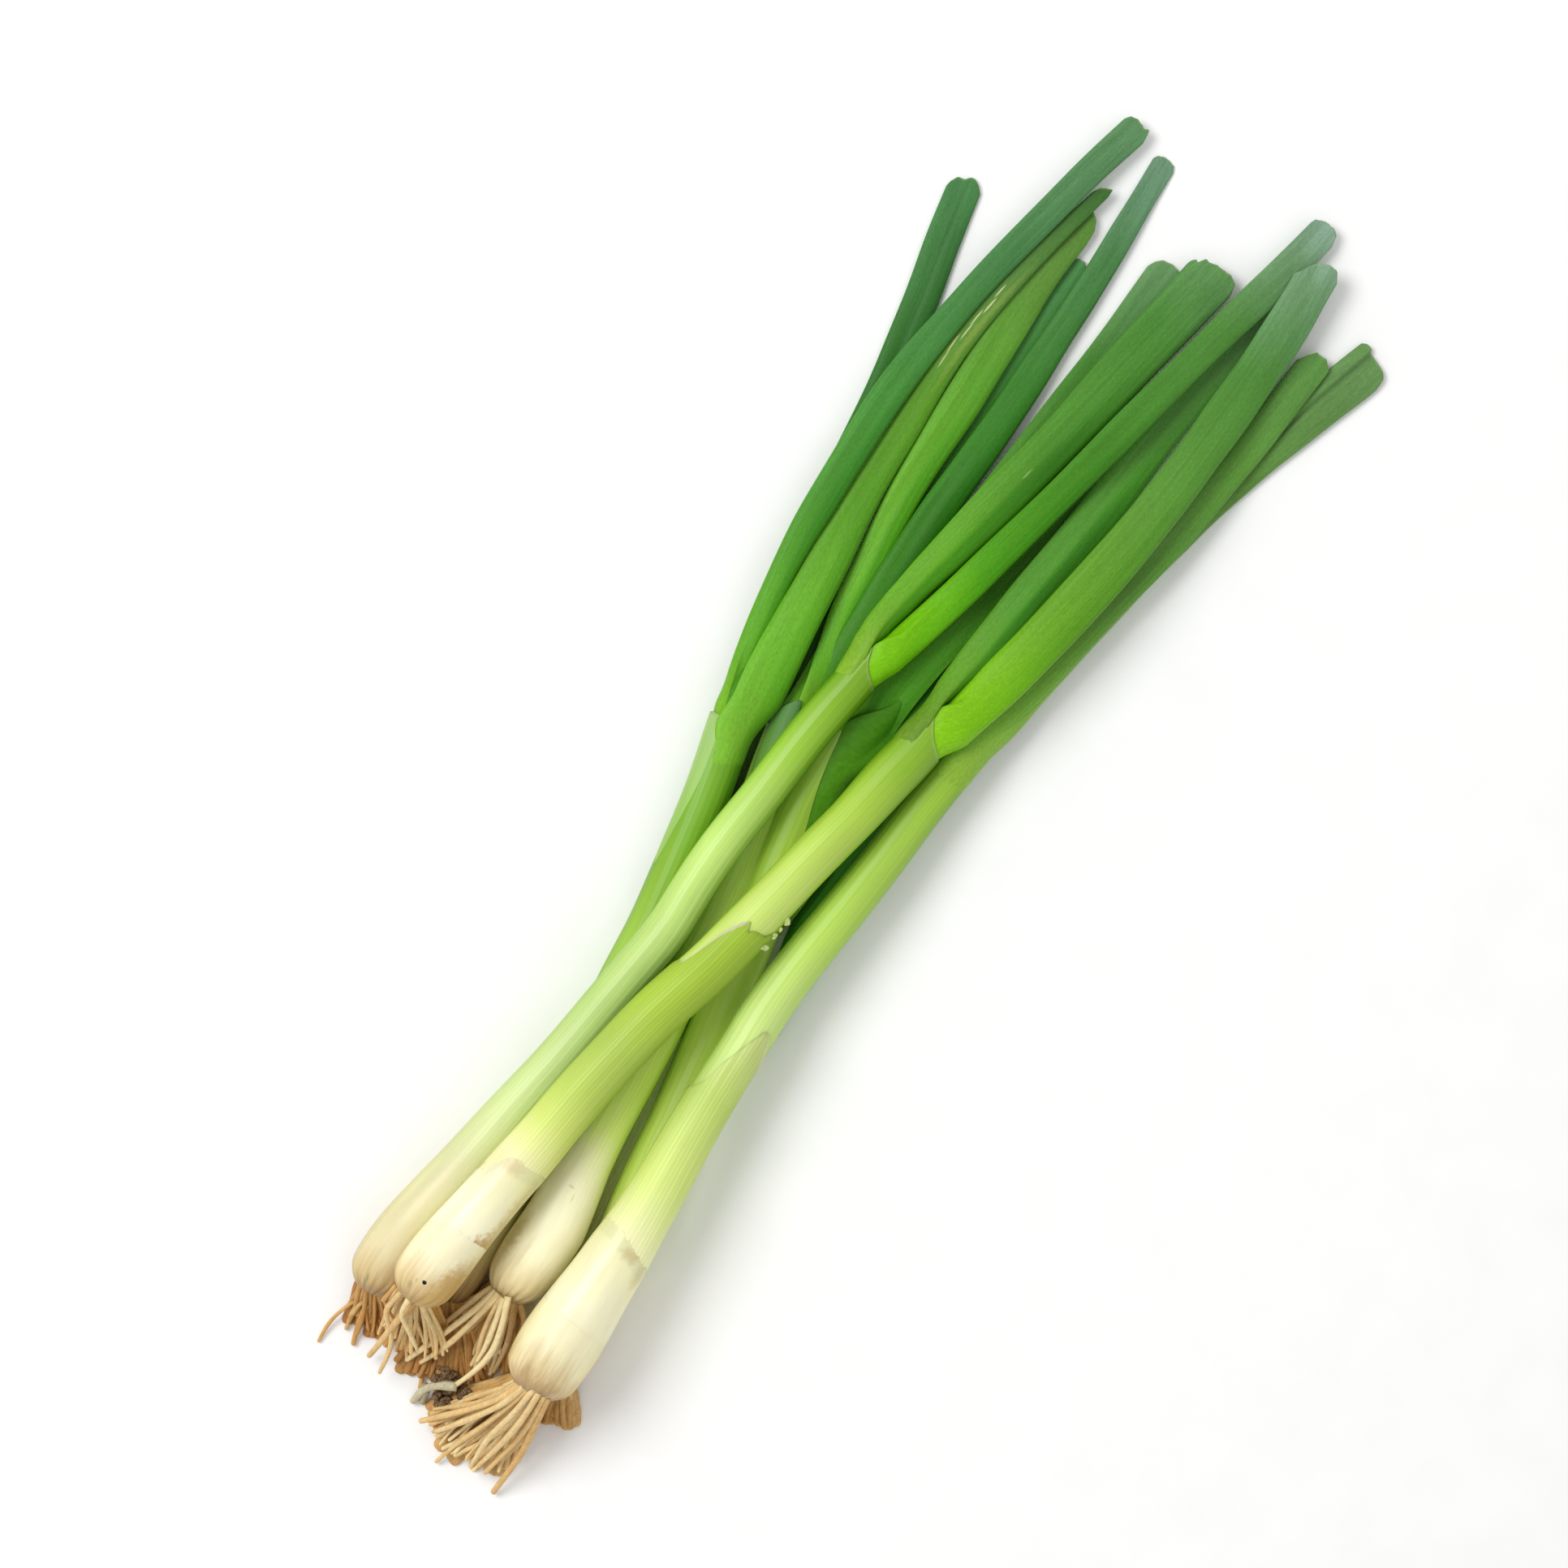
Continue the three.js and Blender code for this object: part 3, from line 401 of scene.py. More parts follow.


# Per stem: how far up the bulb's foot sits, the rim of its mouth as [degrees round it, mm past the strand's
# end], the count and strength of its veins, the outer sheath that comes off, its colours as [millimetres from
# the root plate, colour], how much deeper they are on its sides as painted shade, and its marks. The tan and
# grey ovals low on a bulb's sides are partly stains and partly painted shade.
STEMS = {
    "onion_1": dict(
        foot=2.0, veins=(36, 0.3), side=0.5,
        rim=[(0, -3), (54, -3), (62, 1.2), (68, 2.2), (80, -0.8), (96, -3.2), (135, -5.4), (180, -6.6),
            (240, -6), (300, -4), (360, -3)],
        stops=[(0, "#B08A54"), (5, "#CDB480"), (13, "#DED2A6"), (36, "#DADAA8"), (60, "#CBDB96"),
            (95, "#B1CB78"), (140, "#BEDE76"), (170, "#98C43E"), (190, "#79A822"), (203, "#729F20")],
        marks=[(3.8, 2.0, 7, 2.6, 0.5, "#8E8C64", 0.7, 0.6), (30, 1.5, 6, 16, 3.0, "#EADCB2", 0.45, 0.9),
            (9, -6, 4, 11, 5, "#CFB680", 0.6, 0.9), (12, 7.5, 2, 18, 4, "#C2BC94", 0.6, 0.9)]),
    "onion_2": dict(
        foot=2.0, veins=(36, 0.3), sleeve=(46, 119, 0.6), side=0.5,
        rim=[(0, -3), (50, -3), (57, 1.8), (63, 2.7), (76, 0.2), (99, -2.8), (135, -5.2), (180, -6.2),
            (240, -6), (300, -4), (360, -3)],
        stops=[(0, "#C09A5C"), (5, "#D8C08C"), (13, "#EFE5BE"), (26, "#F4EECA"), (42, "#EEEAB8"),
            (60, "#D3E08E"), (126, "#C6DC72"), (160, "#AACC48"), (180, "#86B02E"), (195, "#75A126")],
        nudge=[(0, 0, 0), (160, 0, 0), (176, 0.35, 0.35), (192, 0.45, 0.45)],
        marks=[(7, -6.5, 4, 13, 6.5, "#C4A05C", 0.9, 0.6),
            (7.2, -0.55, 7.5, 0.62, 0.62, "#1E1416", 1.0, 0.25), (4.4, 2.2, 7, 1.6, 0.9, "#A8986C", 0.7, 0.7),
            (6.5, 1.4, 7, 0.9, 0.5, "#B4A880", 0.6, 0.7)]),
    "onion_3": dict(
        foot=1.6, veins=(36, 0.4), side=0.45, rim=[(0, -3), (360, -3)],
        nudge=[(0, 0, 0), (14, -0.4, 0.4), (22, -0.6, 0.6), (30, -0.1, 0.3), (40, 0.2, -0.1), (60, 0.2, -0.2),
            (75, 0.1, 0), (90, 0, 0), (110, -0.6, 0.5), (145, -0.6, 0.5), (160, 0, 0)],
        stops=[(0, "#D0B47A"), (5, "#E6D5A4"), (14, "#F9F3CE"), (32, "#FCF8D4"), (42, "#F0F2B4"),
            (50, "#DCEE80"), (62, "#CEE866"), (90, "#C8E466"), (120, "#C2E062"), (150, "#B0D658"),
            (170, "#98C648")],
        marks=[(33, 0.2, 7, 0.45, 1.3, "#CCC088", 0.6, 0.8), (30.6, -1.2, 6, 1.8, 0.45, "#D8CC98", 0.55, 0.8),
            (15, 6.5, 4, 12, 3.2, "#C9B070", 0.7, 0.85), (13, 2.5, 7, 9, 1.2, "#E2D4A0", 0.6, 0.8),
            (6, -3, 6, 5, 6, "#E8D8A8", 0.5, 0.9)]),
    "onion_4": dict(
        foot=0.0, veins=(28, 0.15), side=0.5,
        rim=[(0, -6), (50, -6), (72, -3), (82, -1.6), (90, -6), (95, -10), (104, -17), (121, -27), (128, -34),
            (142, -40), (180, -44), (240, -40), (300, -12), (360, -6)],
        nudge=[(0, 0, 0), (70, 0, 0), (90, 0.9, 0.3), (112, 1.8, 0.7), (137, 2.2, 1.0), (155, 1.8, 0.7),
            (170, 0.9, 0.3), (180, 0.2, 0)],
        stops=[(0, "#C9AE74"), (5, "#E0D2A2"), (26, "#E4E1A8"), (50, "#BCD266"), (95, "#C0DC5C"),
            (130, "#B8DA50"), (160, "#A6CE46"), (182, "#A8CC60")]),
    "onion_5": dict(
        foot=3.4, veins=(34, 0.25), sleeve=(44, 102, 0.6), side=0.5, rim=[(0, -3), (360, -3)],
        stops=[(0, "#A88558"), (5, "#C2A474"), (10, "#DECB9C"), (16, "#F1E8BE"), (26, "#F6F1C8"),
            (46, "#EEEEB8"), (76, "#D0E08C"), (91, "#C2D880"), (106, "#CCE488"), (135, "#B4D65C"),
            (195, "#8AB52B")]),
    "onion_6": dict(
        foot=0.0, veins=(28, 0.12), side=0.45,
        rim=[(0, 3.4), (34, 3.8), (58, 3.3), (66, 2.6), (74, -3), (300, -3), (330, -1), (360, 3.4)],
        stops=[(0, "#A07C46"), (6, "#B89A60"), (16, "#CFC083"), (40, "#CCD08A"), (70, "#A4BC5A"),
            (102, "#96BC42"), (118, "#84B02E"), (132, "#76A828"), (160, "#74AC2C")],
        marks=[(112, 0, 5, 12, 7, "#7FA82C", 0.35, 0.9)]),
}
stems = {}
turn = np.linspace(0, 2 * math.pi, 128, endpoint=False)
for number, (name, look) in enumerate(STEMS.items()):
    strand = stems[name] = read_strand(f"{name}_stem", head=3.2, tail=6.0, swell=1.035,
                                       sleeve=look.get("sleeve", (0, 0, 0)))
    length, foot = strand["length"], look["foot"]
    # The rings run up the outside from the foot, over the rim and 9 mm down inside the mouth.
    outside = np.concatenate([
        foot + np.linspace(-1.5, 0, 6, endpoint=False), np.linspace(foot, 34, 40, endpoint=False),
        np.linspace(34, length - 12, 90, endpoint=False), np.linspace(length - 12, length, 22)])
    rows = np.concatenate([
        outside, [length + 0.06, length + 0.06, length], np.linspace(length - 1, length - 9, 8)])
    inward = np.concatenate([0 * outside, [0.06, 0.2, 0.28], np.linspace(0.32, 0.4, 8)])[:, None]
    s, phi = np.meshgrid(rows, turn, indexing="ij")
    mouth = soften_round(np.interp(np.degrees(turn), *zip(*look["rim"])), 1.5)
    mouth = mouth + 0.12 * drift(turn, 1.3, number)
    s = s + mouth * ease(s, length - 16 + np.minimum(mouth, 0), length)
    middle, side, up, a, b = round_stem(name, s, phi)
    # The foot closes over the root plate in a blunt round end, puckered where the roots leave it.
    rise = s - foot
    close = np.sqrt(1 - 0.88 * (np.clip(4.5 - rise, 0, 6) / 6) ** 2)
    pucker = 0.25 * np.exp(-np.clip(rise, 0, None) / 3.5) * np.cos(17 * phi + drift(phi, 1.0, number))
    trim = pucker - inward
    points = ring(middle, side, up, a * close + trim, b * close + trim, phi)
    fields = {
        "strand": np.stack([s, a * np.cos(phi), b * np.sin(phi)], -1),
        # Painted shade: the sides of the stem that turn from the light are deepened.
        "side_shade": look["side"] * (1 - ease(np.sin(phi), 0.05, 0.85)),
        # Painted shade: the inside of the mouth and the puckered foot over the root plate are darkened.
        "crease": 0.1 * (inward > 0.3) + 0.35 * np.exp(-np.clip(rise, 0, None) / 1.2),
        "edge": 0.35 * ease(s, length + mouth - 0.8, length + mouth) * (inward < 0.3)}
    # Living sheath skin: moist and satin, with the light going a little way into the white flesh.
    material = living_skin(f"{name} sheath skin, moist satin", look["stops"], look["veins"], roughness=0.34,
                           gloss=0.42, flesh=0.15, streak=0.25, bare=0.12,
                           marks=look.get("marks", ()))
    skin(f"{name}_bulb_and_shaft", points, fields, material, [f"{name}_stem"])


# ======================================================================================================
# The outer sheaths, the papery bulb skins and the thin films
# Two of the plants keep an older leaf sheath round the shaft, ribbed and greener, which ends in a torn edge
# with a thin film along it. A papery skin wraps their bulbs and laps over the sheath's lower end. Where other
# sheaths open, a pale film a few cells thick is left along the rim and clings to the skin.
# ======================================================================================================

def wrap(stem, start, end, lift, thick, film, fray, seed):
    """A thin sleeve on a stem from distance start to distance end, which is given as [degrees, distance]
    round it. It lies above the stem's skin by lift, [at its start, at its end]. The far edge thins out over
    the film's width, also given round it, and curls up; fray is how far small teeth move that edge. The wall
    is thick, and its inside runs back over the last tenth. Also how far each point is from the edge."""
    turn = np.linspace(0, 2 * math.pi, 192, endpoint=False)
    up_to, edge, back = 90, 6, 8
    t = np.concatenate([np.linspace(0, 1, up_to), np.ones(edge), np.linspace(1, 0.9, back)])[:, None]
    inward = np.concatenate([np.zeros(up_to + edge), np.full(back, thick)])[:, None]
    beyond = np.concatenate([np.zeros(up_to), np.linspace(0.2, 1, edge - 1), [1.02],
                             np.linspace(0.9, 0, back)])[:, None]
    degrees = np.degrees(turn)
    last = soften_round(np.interp(degrees, *zip(*end)), 1.2)
    last = last + fray * drift(degrees, 14, seed) + 0.5 * fray * drift(degrees, 5, seed + 1)
    width = soften_round(np.interp(degrees, *zip(*film)), 2)
    s = start + (last - start) * t + width * beyond
    phi = turn + 0 * s
    middle, side, up, a, b = round_stem(stem, s, phi)
    out = lift[0] * (1 - ease(t, 0, 1)) + lift[1] * ease(t, 0, 1) + 0.12 * width * beyond - inward
    fields = {"strand": np.stack([s, a * np.cos(phi), b * np.sin(phi)], -1),
              # Painted shade: the sides of the sleeve that turn from the light are deepened a little.
              "side_shade": 0.2 * (1 - ease(np.sin(phi), 0.05, 0.85)),
              "edge": np.clip(1 - (last - s) / 0.4, 0, 1) * ease(width, 0.3, 0.9) + 0 * s}
    return ring(middle, side, up, a + out, b + out, phi), fields, last - s


# Per sheath: where it starts, how high it lies at its two ends, its veins, the colour and the width of its
# film, how much its torn edge is darkened as painted shade in the fold there, where that edge runs round the
# shaft, and its colours.
SHEATHS = {
    "onion_2": dict(
        start=38, lift=(0.12, 0.45), veins=(42, 0.6), rim="#C4C2A0", dark=0.3,
        film=[(0, 0.1), (30, 0.4), (48, 1.0), (75, 1.2), (90, 0.2), (360, 0.1)],
        end=[(0, 103), (16, 104.6), (42, 106.5), (50, 112), (60, 117.5), (74, 121.6), (87, 124.6),
            (93, 123.2), (99, 122.0), (106, 123.6), (137, 124.4), (160, 126.5), (180, 127.5), (220, 124),
            (300, 110), (360, 103)],
        stops=[(0, "#EEEBBA"), (44, "#ECE9AE"), (50, "#DFE492"), (57, "#CBDA70"), (67, "#B4CA5C"),
            (80, "#A8C052"), (95, "#A2BE3E"), (122, "#98B834"), (130, "#9CAF3E")]),
    "onion_5": dict(
        start=38, lift=(0.12, 0.35), veins=(40, 0.55), rim="#CFCFA4", dark=0.35,
        film=[(0, 0.1), (60, 0.1), (120, 0.2), (140, 0.8), (185, 0.9), (220, 0.1), (360, 0.1)],
        end=[(0, 86), (40, 88), (56, 90.4), (68, 95.9), (85, 100.6), (101, 105), (114, 107.4), (122, 107.6),
            (135, 105.6), (150, 101.5), (170, 99), (200, 97), (280, 90), (360, 86)],
        stops=[(0, "#F2F1C2"), (47, "#F0F1B8"), (54, "#E3EBA0"), (60, "#D8E78C"), (64, "#D2E280"),
            (76, "#C8DC78"), (88, "#BAD06C"), (98, "#C2D47A"), (108, "#C8D88A"), (130, "#C8D88A")]),
}
for number, (name, look) in enumerate(SHEATHS.items()):
    points, fields, near = wrap(name, look["start"], look["end"], look["lift"], thick=0.25, film=look["film"],
                                fray=0.2, seed=900 + number)
    # The last millimetre before the torn edge is darkened: painted shade in the fold along that edge.
    fields["crease"] = look["dark"] * np.clip(1 - near / 1.1, 0, 1) * (1 - fields["edge"])
    # Older sheath skin: greener and drier than the shaft's, with the veins standing out as ribs.
    material = living_skin(f"{name} older sheath skin, ribbed", look["stops"], look["veins"], roughness=0.42,
                           gloss=0.35, flesh=0.1, streak=0.28, rim=look["rim"])
    skin(f"{name}_outer_sheath", points, fields, material, poles=(False, False))

# Per papery skin: where it starts, its upper edge round the bulb, its colours and its stains, which low on
# its sides are partly painted shade.
PAPER = {
    "onion_2": dict(
        start=10,
        end=[(0, 35), (40, 37), (50, 40), (60, 43), (79, 44.6), (106, 44.2), (143, 45), (180, 44), (270, 38),
            (360, 35)],
        stops=[(0, "#C9A870"), (6, "#DCC896"), (13, "#F0E6C0"), (26, "#F6F0CE"), (36, "#F2EDBE"),
            (43, "#E8E5A6"), (50, "#DEE294")],
        marks=[(10, -6.8, 4, 17, 6.6, "#C8A468", 0.8, 0.6), (15, -6.4, 4, 12, 6.4, "#BC9656", 0.95, 0.35),
            (24, -7.6, 3, 20, 3.6, "#CDB278", 0.7, 0.7), (42.4, 1.2, 7, 2.6, 4.2, "#DECD96", 0.8, 0.7),
            (38, -6.8, 3, 10, 3.2, "#D2C088", 0.6, 0.8)]),
    "onion_5": dict(
        start=11,
        end=[(0, 49.5), (60, 49), (74, 48.2), (111, 45.8), (141, 44), (180, 42.6), (270, 46), (360, 49.5)],
        stops=[(0, "#C8AC76"), (6, "#DCC892"), (14, "#F2E9C0"), (28, "#F7F2CC"), (40, "#F4F0C0"),
            (46, "#ECEBB0"), (52, "#E4EBA2")],
        marks=[(44.6, -2.6, 7, 2.6, 3.6, "#D8C78A", 0.85, 0.7), (41, -6.8, 4, 5.5, 2.6, "#DACB90", 0.6, 0.8),
            (8, -6, 4, 9, 6, "#D0BC8C", 0.6, 0.9), (14, 8.5, 2, 18, 3.4, "#CDC08C", 0.6, 0.9)]),
}
for number, (name, look) in enumerate(PAPER.items()):
    points, fields, near = wrap(name, look["start"], look["end"], (-0.08, 0.2), thick=0.1,
                                film=[(0, 0), (360, 0)], fray=0.3, seed=940 + number)
    # A thin darker line runs along the edge on the lower right half only, away from the light: painted shade
    # under the skin's edge.
    fields["crease"] = 0.22 * np.clip(1 - near / 0.45, 0, 1) * ease(fields["strand"][..., 1], 3, -3)
    # Papery skin: dry and smooth, almost white, with the shine of silk and tan stains where it has died; on
    # its sides the stains are partly painted shade.
    material = living_skin(f"{name} papery bulb skin, dry satin", look["stops"], (34, 0.12), roughness=0.3,
                           gloss=0.5, flesh=0.15, streak=0.12, bare=0.12, marks=look["marks"])
    skin(f"{name}_papery_skin", points, fields, material, poles=(False, False))


def patch(stem, edges, lift):
    """A thin film on a stem's skin. edges is [distance, low degrees, high degrees] along it, and the film
    fills the angles between. A ring of points runs over its outer face and back under it. It lies above the
    skin by lift, [at its border, more in its middle]."""
    rows, half = 40, 16
    where, low, high = np.array(edges, float).T
    s = np.linspace(where[0], where[-1], rows)[:, None] + np.zeros(2 * half)
    u = np.concatenate([np.linspace(0, 1, half), np.linspace(1, 0, half)])
    over = np.concatenate([np.sin(np.linspace(0, math.pi, half)) ** 0.5, np.zeros(half)])
    low, high = np.interp(s, where, low), np.interp(s, where, high)
    phi = np.radians(low + (high - low) * u)
    middle, side, up, a, b = round_stem(stem, s, phi)
    out = lift[0] + lift[1] * over
    points = ring(middle, side, up, a + out, b + out, phi)
    return points, {"strand": np.stack([s, a * np.cos(phi), b * np.sin(phi)], -1)}


# Per film: how high it lies over the skin, the part of the stem that it covers, and its colours.
FILMS = {
    "onion_6": dict(
        lift=(0.02, 0.16),
        edges=[(119, 24, 26), (124, 2, 36), (131, -20, 46), (137, -30, 54), (144, -30, 63), (156, -30, 66),
            (158.8, -26, 64), (160, -10, 50)],
        stops=[(0, "#8CB44C"), (135, "#94BC5E"), (156, "#9ABE6E"), (170, "#948A68")]),
    "onion_3": dict(
        lift=(0.02, 0.06),
        edges=[(132, 50, 52), (140, 30, 84), (150, 22, 94), (158, 24, 96), (161, 34, 97), (163, 54, 97),
            (165, 74, 96), (166, 86, 93)],
        stops=[(0, "#86B040"), (150, "#64923A"), (160, "#55883E"), (168, "#4C7C42")]),
}
for name, look in FILMS.items():
    points, fields = patch(name, look["edges"], look["lift"])
    # Dried film: so thin that it takes the green of what it clings to, and only its edge shows.
    material = living_skin(f"{name} dried film, thin satin", look["stops"], (30, 0.05), roughness=0.45,
                           gloss=0.3, streak=0.2)
    skin(f"{name}_film", points, fields, material)


# ======================================================================================================
# The leaves
# Hollow tubes of thin waxy skin that flatten towards their cut tips. The outer leaf of a plant is the free
# part of its outermost sheath, so the stem's skin runs on into it on one side of the mouth; the inner leaves
# come up inside the mouth, nested in each other. Old limp leaves lie low between the plants; two of them fill
# gaps that show only shade, and stand for that shade.
# ======================================================================================================

# Greens from the base of a leaf to its tip, as [millimetres, colour]. A leaf that grows on from the side of
# a stem has a base of its own colour, and its greens begin past it. The grey-blue near the tips is partly the
# leaves' waxy bloom and partly painted sheen.
GREENS = {
    "young": [(0, "#84C814"), (22, "#70B80A"), (50, "#4A9210"), (90, "#427F20"), (130, "#4C8334"),
              (158, "#6A9066"), (172, "#84A28E")],
    "blade": [(22, "#66A026"), (45, "#609E28"), (80, "#4E882A"), (120, "#488230"), (150, "#64905A")],
    "bright": [(0, "#8ACA18"), (22, "#7CBA12"), (50, "#649C22"), (90, "#588E32"), (130, "#4C8434"),
               (158, "#6A9066"), (172, "#84A28E")],
    "soft": [(30, "#80B044"), (70, "#7CA658"), (110, "#5E8C3C"), (150, "#628A4E")],
    "leafy": [(0, "#6CA824"), (30, "#549A1E"), (70, "#448C22"), (120, "#428236"), (160, "#4E8550")],
    "shaded": [(22, "#629A26"), (50, "#528E2E"), (90, "#5A9A38"), (120, "#5A9640"), (150, "#6E9C60")],
    "dusty": [(0, "#8AB83C"), (30, "#7CAC42"), (70, "#6A9A46"), (110, "#5D9138"), (150, "#5A8A44")],
    "teal": [(0, "#5C9A1C"), (30, "#44861A"), (70, "#36781A"), (110, "#397925"), (150, "#487C44"),
             (185, "#6F9178")],
    "deep": [(0, "#57961D"), (30, "#3E8016"), (70, "#307019"), (120, "#346E2A"), (160, "#457A44")],
    "warm": [(25, "#68AA28"), (70, "#5C9A26"), (110, "#558A22"), (140, "#568238"), (175, "#3A662C")],
    "olive": [(25, "#66AC28"), (70, "#66A828"), (110, "#5A962A"), (140, "#5E8C36"), (175, "#48722E")],
    "blue": [(0, "#7EB21A"), (30, "#5C9E1E"), (70, "#4A8E2A"), (110, "#428234"), (150, "#447A42"),
             (190, "#5A8658")],
}
# Per leaf: its greens, the colour of its base where it grows on from the stem, and how far its cut edge, tip,
# lies past the strand's end, as [side, mm] across it from its +Y side, 1, to its -Y side, -1. An outer leaf
# has the side of the mouth it grows from as grip, and the arc in degrees that its base fills there, from the
# top edge down. nest is how deep an inner leaf lies in the mouth, and back how far it reaches down into it.
# leave is the spans of millimetres past the rim over which it leaves the mouth sideways and upwards, shift
# moves its base across, and side_shade is how much deeper the green is on its lower side, away from the
# light, as painted shade. sides widens a leaf past the mouth, as [mm past it, wider on its +Y side, wider on
# its -Y side, raised by]. A crease is [start, end, side at the start, side at the end, width, depth].
LEAVES = {
    "onion_5_low_leaf": dict(
        greens="deep", back=-12, tip=[(1, -3), (0.5, -0.6), (-0.4, 0), (-1, -2)]),
    "onion_6_side_leaf": dict(
        greens="deep", nest=1.3,
        tip=[(1, -4.4), (0.84, -2.5), (0.5, -1.2), (0.12, -1.2), (-0.14, 0), (-0.52, -0.5), (-1, -3)],
        crease=[(90, 165, 0.1, -0.15, 0.14, 0.18)]),
    "onion_3_middle_leaf": dict(
        greens="leafy", nest=1.4,
        tip=[(1, -3), (0.41, -0.4), (0.24, 1), (-0.29, 1.2), (-0.65, 0.1), (-1, -2)]),
    "onion_3_outer_leaf": dict(
        greens="olive", base="#8CBC34", grip=-1, arc=(92, -15), shift=-4.6, side_shade=0.3, leave=(-3, 12, -3, 26),
        tip=[(1, -2.2), (0.74, -1), (0, -0.5), (-0.47, -1.5), (-0.86, -4), (-1, -8)]),
    "onion_3_inner_leaf": dict(
        greens="teal", nest=0.6, sides=[(0, 0, 0, -0.3), (6, 0, 0, -1.5), (50, 0, 0, -1.2), (80, 0, 0, 0)],
        tip=[(1, -2.4), (0.77, -1.2), (0.23, -0.6), (-0.7, -1.2), (-1, -3.2)]),
    "onion_6_outer_leaf": dict(
        greens="warm", base="#78B030", grip=-1, arc=(115, -15), leave=(-3, 12, -3, 30), side_shade=0.1,
        sides=[(-3, 0, 0, 0), (2, 1.9, 0, 0.2), (8, 1.5, 0, 0.9), (20, 1.4, 0, 1.2), (34, 1.5, 0, 0.8),
            (60, 0, 0, 0)],
        tip=[(1, -4), (0.52, -1.7), (-0.7, 0), (-1, -2.3)],
        marks=[(134, 0.3, 1, 3.2, 0.26, "#D0D098", 0.85, 0.5),
            (129.6, 0.9, 1, 3.2, 0.26, "#CCCC94", 0.8, 0.5), (125.4, 0.6, 1, 3.2, 0.26, "#C8C890", 0.8, 0.5),
            (121, 1.5, 1, 3.4, 0.28, "#C2C688", 0.8, 0.5), (116.5, 1.2, 1, 3.4, 0.28, "#BCC282", 0.7, 0.5),
            (128, -1.0, 1, 26, 1.2, "#92A84C", 0.45, 0.8), (138.4, 0.8, 1, 2.6, 0.24, "#D8D8A4", 0.7, 0.5)]),
    "onion_6_inner_leaf": dict(
        greens="blue", nest=0.5, side_shade=0.2, leave=(-2, 10, -2, 20),
        sides=[(2, 0, 0, -0.4), (8, 0, 1.2, -1.8), (22, 0, 1.8, -1.8), (40, 0, 1, -0.8), (60, 0, 0, 0)],
        tip=[(1, -4.2), (0.8, -2.5), (0.49, -1.9), (-0.05, -1.9), (-0.25, -2.5), (-0.6, -1.4), (-0.81, -3.2),
            (-1, -5)]),
    "onion_4_inner_leaf": dict(
        greens="deep", nest=0.4, back=44, leave=(0, 14, 0, 30),
        sides=[(-36, 0, 0, 0), (-26, 0, -2.4, 0), (-10, 0, -3, 0), (0, 0, -2.6, 0), (14, 0, -1, 0),
            (30, 0, 0, 0)],
        tip=[(1, -3), (0.5, -0.6), (-0.4, 0), (-1, -2)]),
    "onion_4_outer_leaf": dict(
        greens="blade", base="#86AE38", grip=1, arc=(80, -67),
        tip=[(1, -1.5), (0.72, 0.8), (0.5, 1.9), (0.1, 2.3), (-0.5, 2.1), (-1, -1)]),
    "onion_5_outer_leaf": dict(
        greens="soft", base="#8CB43A", grip=-1, arc=(150, -15), leave=(-3, 12, -3, 26), side_shade=0.0,
        tip=[(1, -1.6), (0.82, -0.5), (0.45, -0.4), (0.36, -1.6), (-0.12, -1.5), (-0.56, -2), (-0.84, -3),
            (-1, -6)],
        crease=[(95, 160, 0.15, 0.38, 0.1, 0.5)]),
    "onion_5_inner_leaf": dict(
        greens="dusty", nest=0.6, tip=[(1, -5), (0.63, -2.3), (0.3, -0.4), (-0.4, -0.2), (-1, -2.2)]),
    "onion_1_outer_leaf": dict(
        greens="blade", base="#7CAA28", grip=1, arc=(84, -67), side_shade=0.4,
        sides=[(-10, 0, 0, 0), (-2, 1.0, 0, 0), (1, 1.5, 0, 0), (5.5, 1.2, 0.9, 0), (8, 0.85, 1.5, 0),
            (12, 0.3, 1.6, 0), (18, 0, 1.2, 0), (30, 0, 0, 0)],
        tip=[(1, -8), (0.97, -6.6), (0.84, -5.6), (0.68, -6.4), (0.6, -3.6), (0.4, -3.9), (0.1, -3.2),
            (-0.4, -2.7), (-0.81, -3.6), (-1, -7)],
        marks=[(71.3, -0.2, 2, 2.2, 0.3, "#B8C890", 0.35, 0.6)]),
    # This leaf's base is darker than the other outer leaves' as painted shade beside the inner leaf.
    "onion_2_outer_leaf": dict(
        greens="shaded", base="#688F26", grip=1, arc=(84, -67), side_shade=0.4,
        sides=[(-8, 0.2, 0, 0), (1, 0.8, 0, 0), (6, 1.1, 1.8, 0), (9, 1.3, 2.0, 0), (13, 1.1, 1.8, 0),
            (20, 0.7, 1.0, 0), (32, 0, 0, 0)],
        tip=[(1, -3), (0.5, -0.6), (-0.4, 0), (-1, -3)]),
    "onion_1_inner_leaf": dict(
        greens="young", nest=0.46, side_shade=0.1, leave=(-0.5, 9, 0, 22),
        tip=[(1, -1.2), (0.9, 0.4), (0.34, 1.6), (-0.28, 1.8), (-0.7, 0.9), (-1, -2)]),
    "onion_2_inner_leaf": dict(
        greens="bright", nest=0.46, side_shade=0.1, leave=(-0.5, 9, 0, 22),
        tip=[(1, -6), (0.69, -4.6), (0.4, -2), (0, -0.5), (-0.66, -0.2), (-1, -3.5)]),
}
turn = np.linspace(0, 2 * math.pi, 64, endpoint=False)
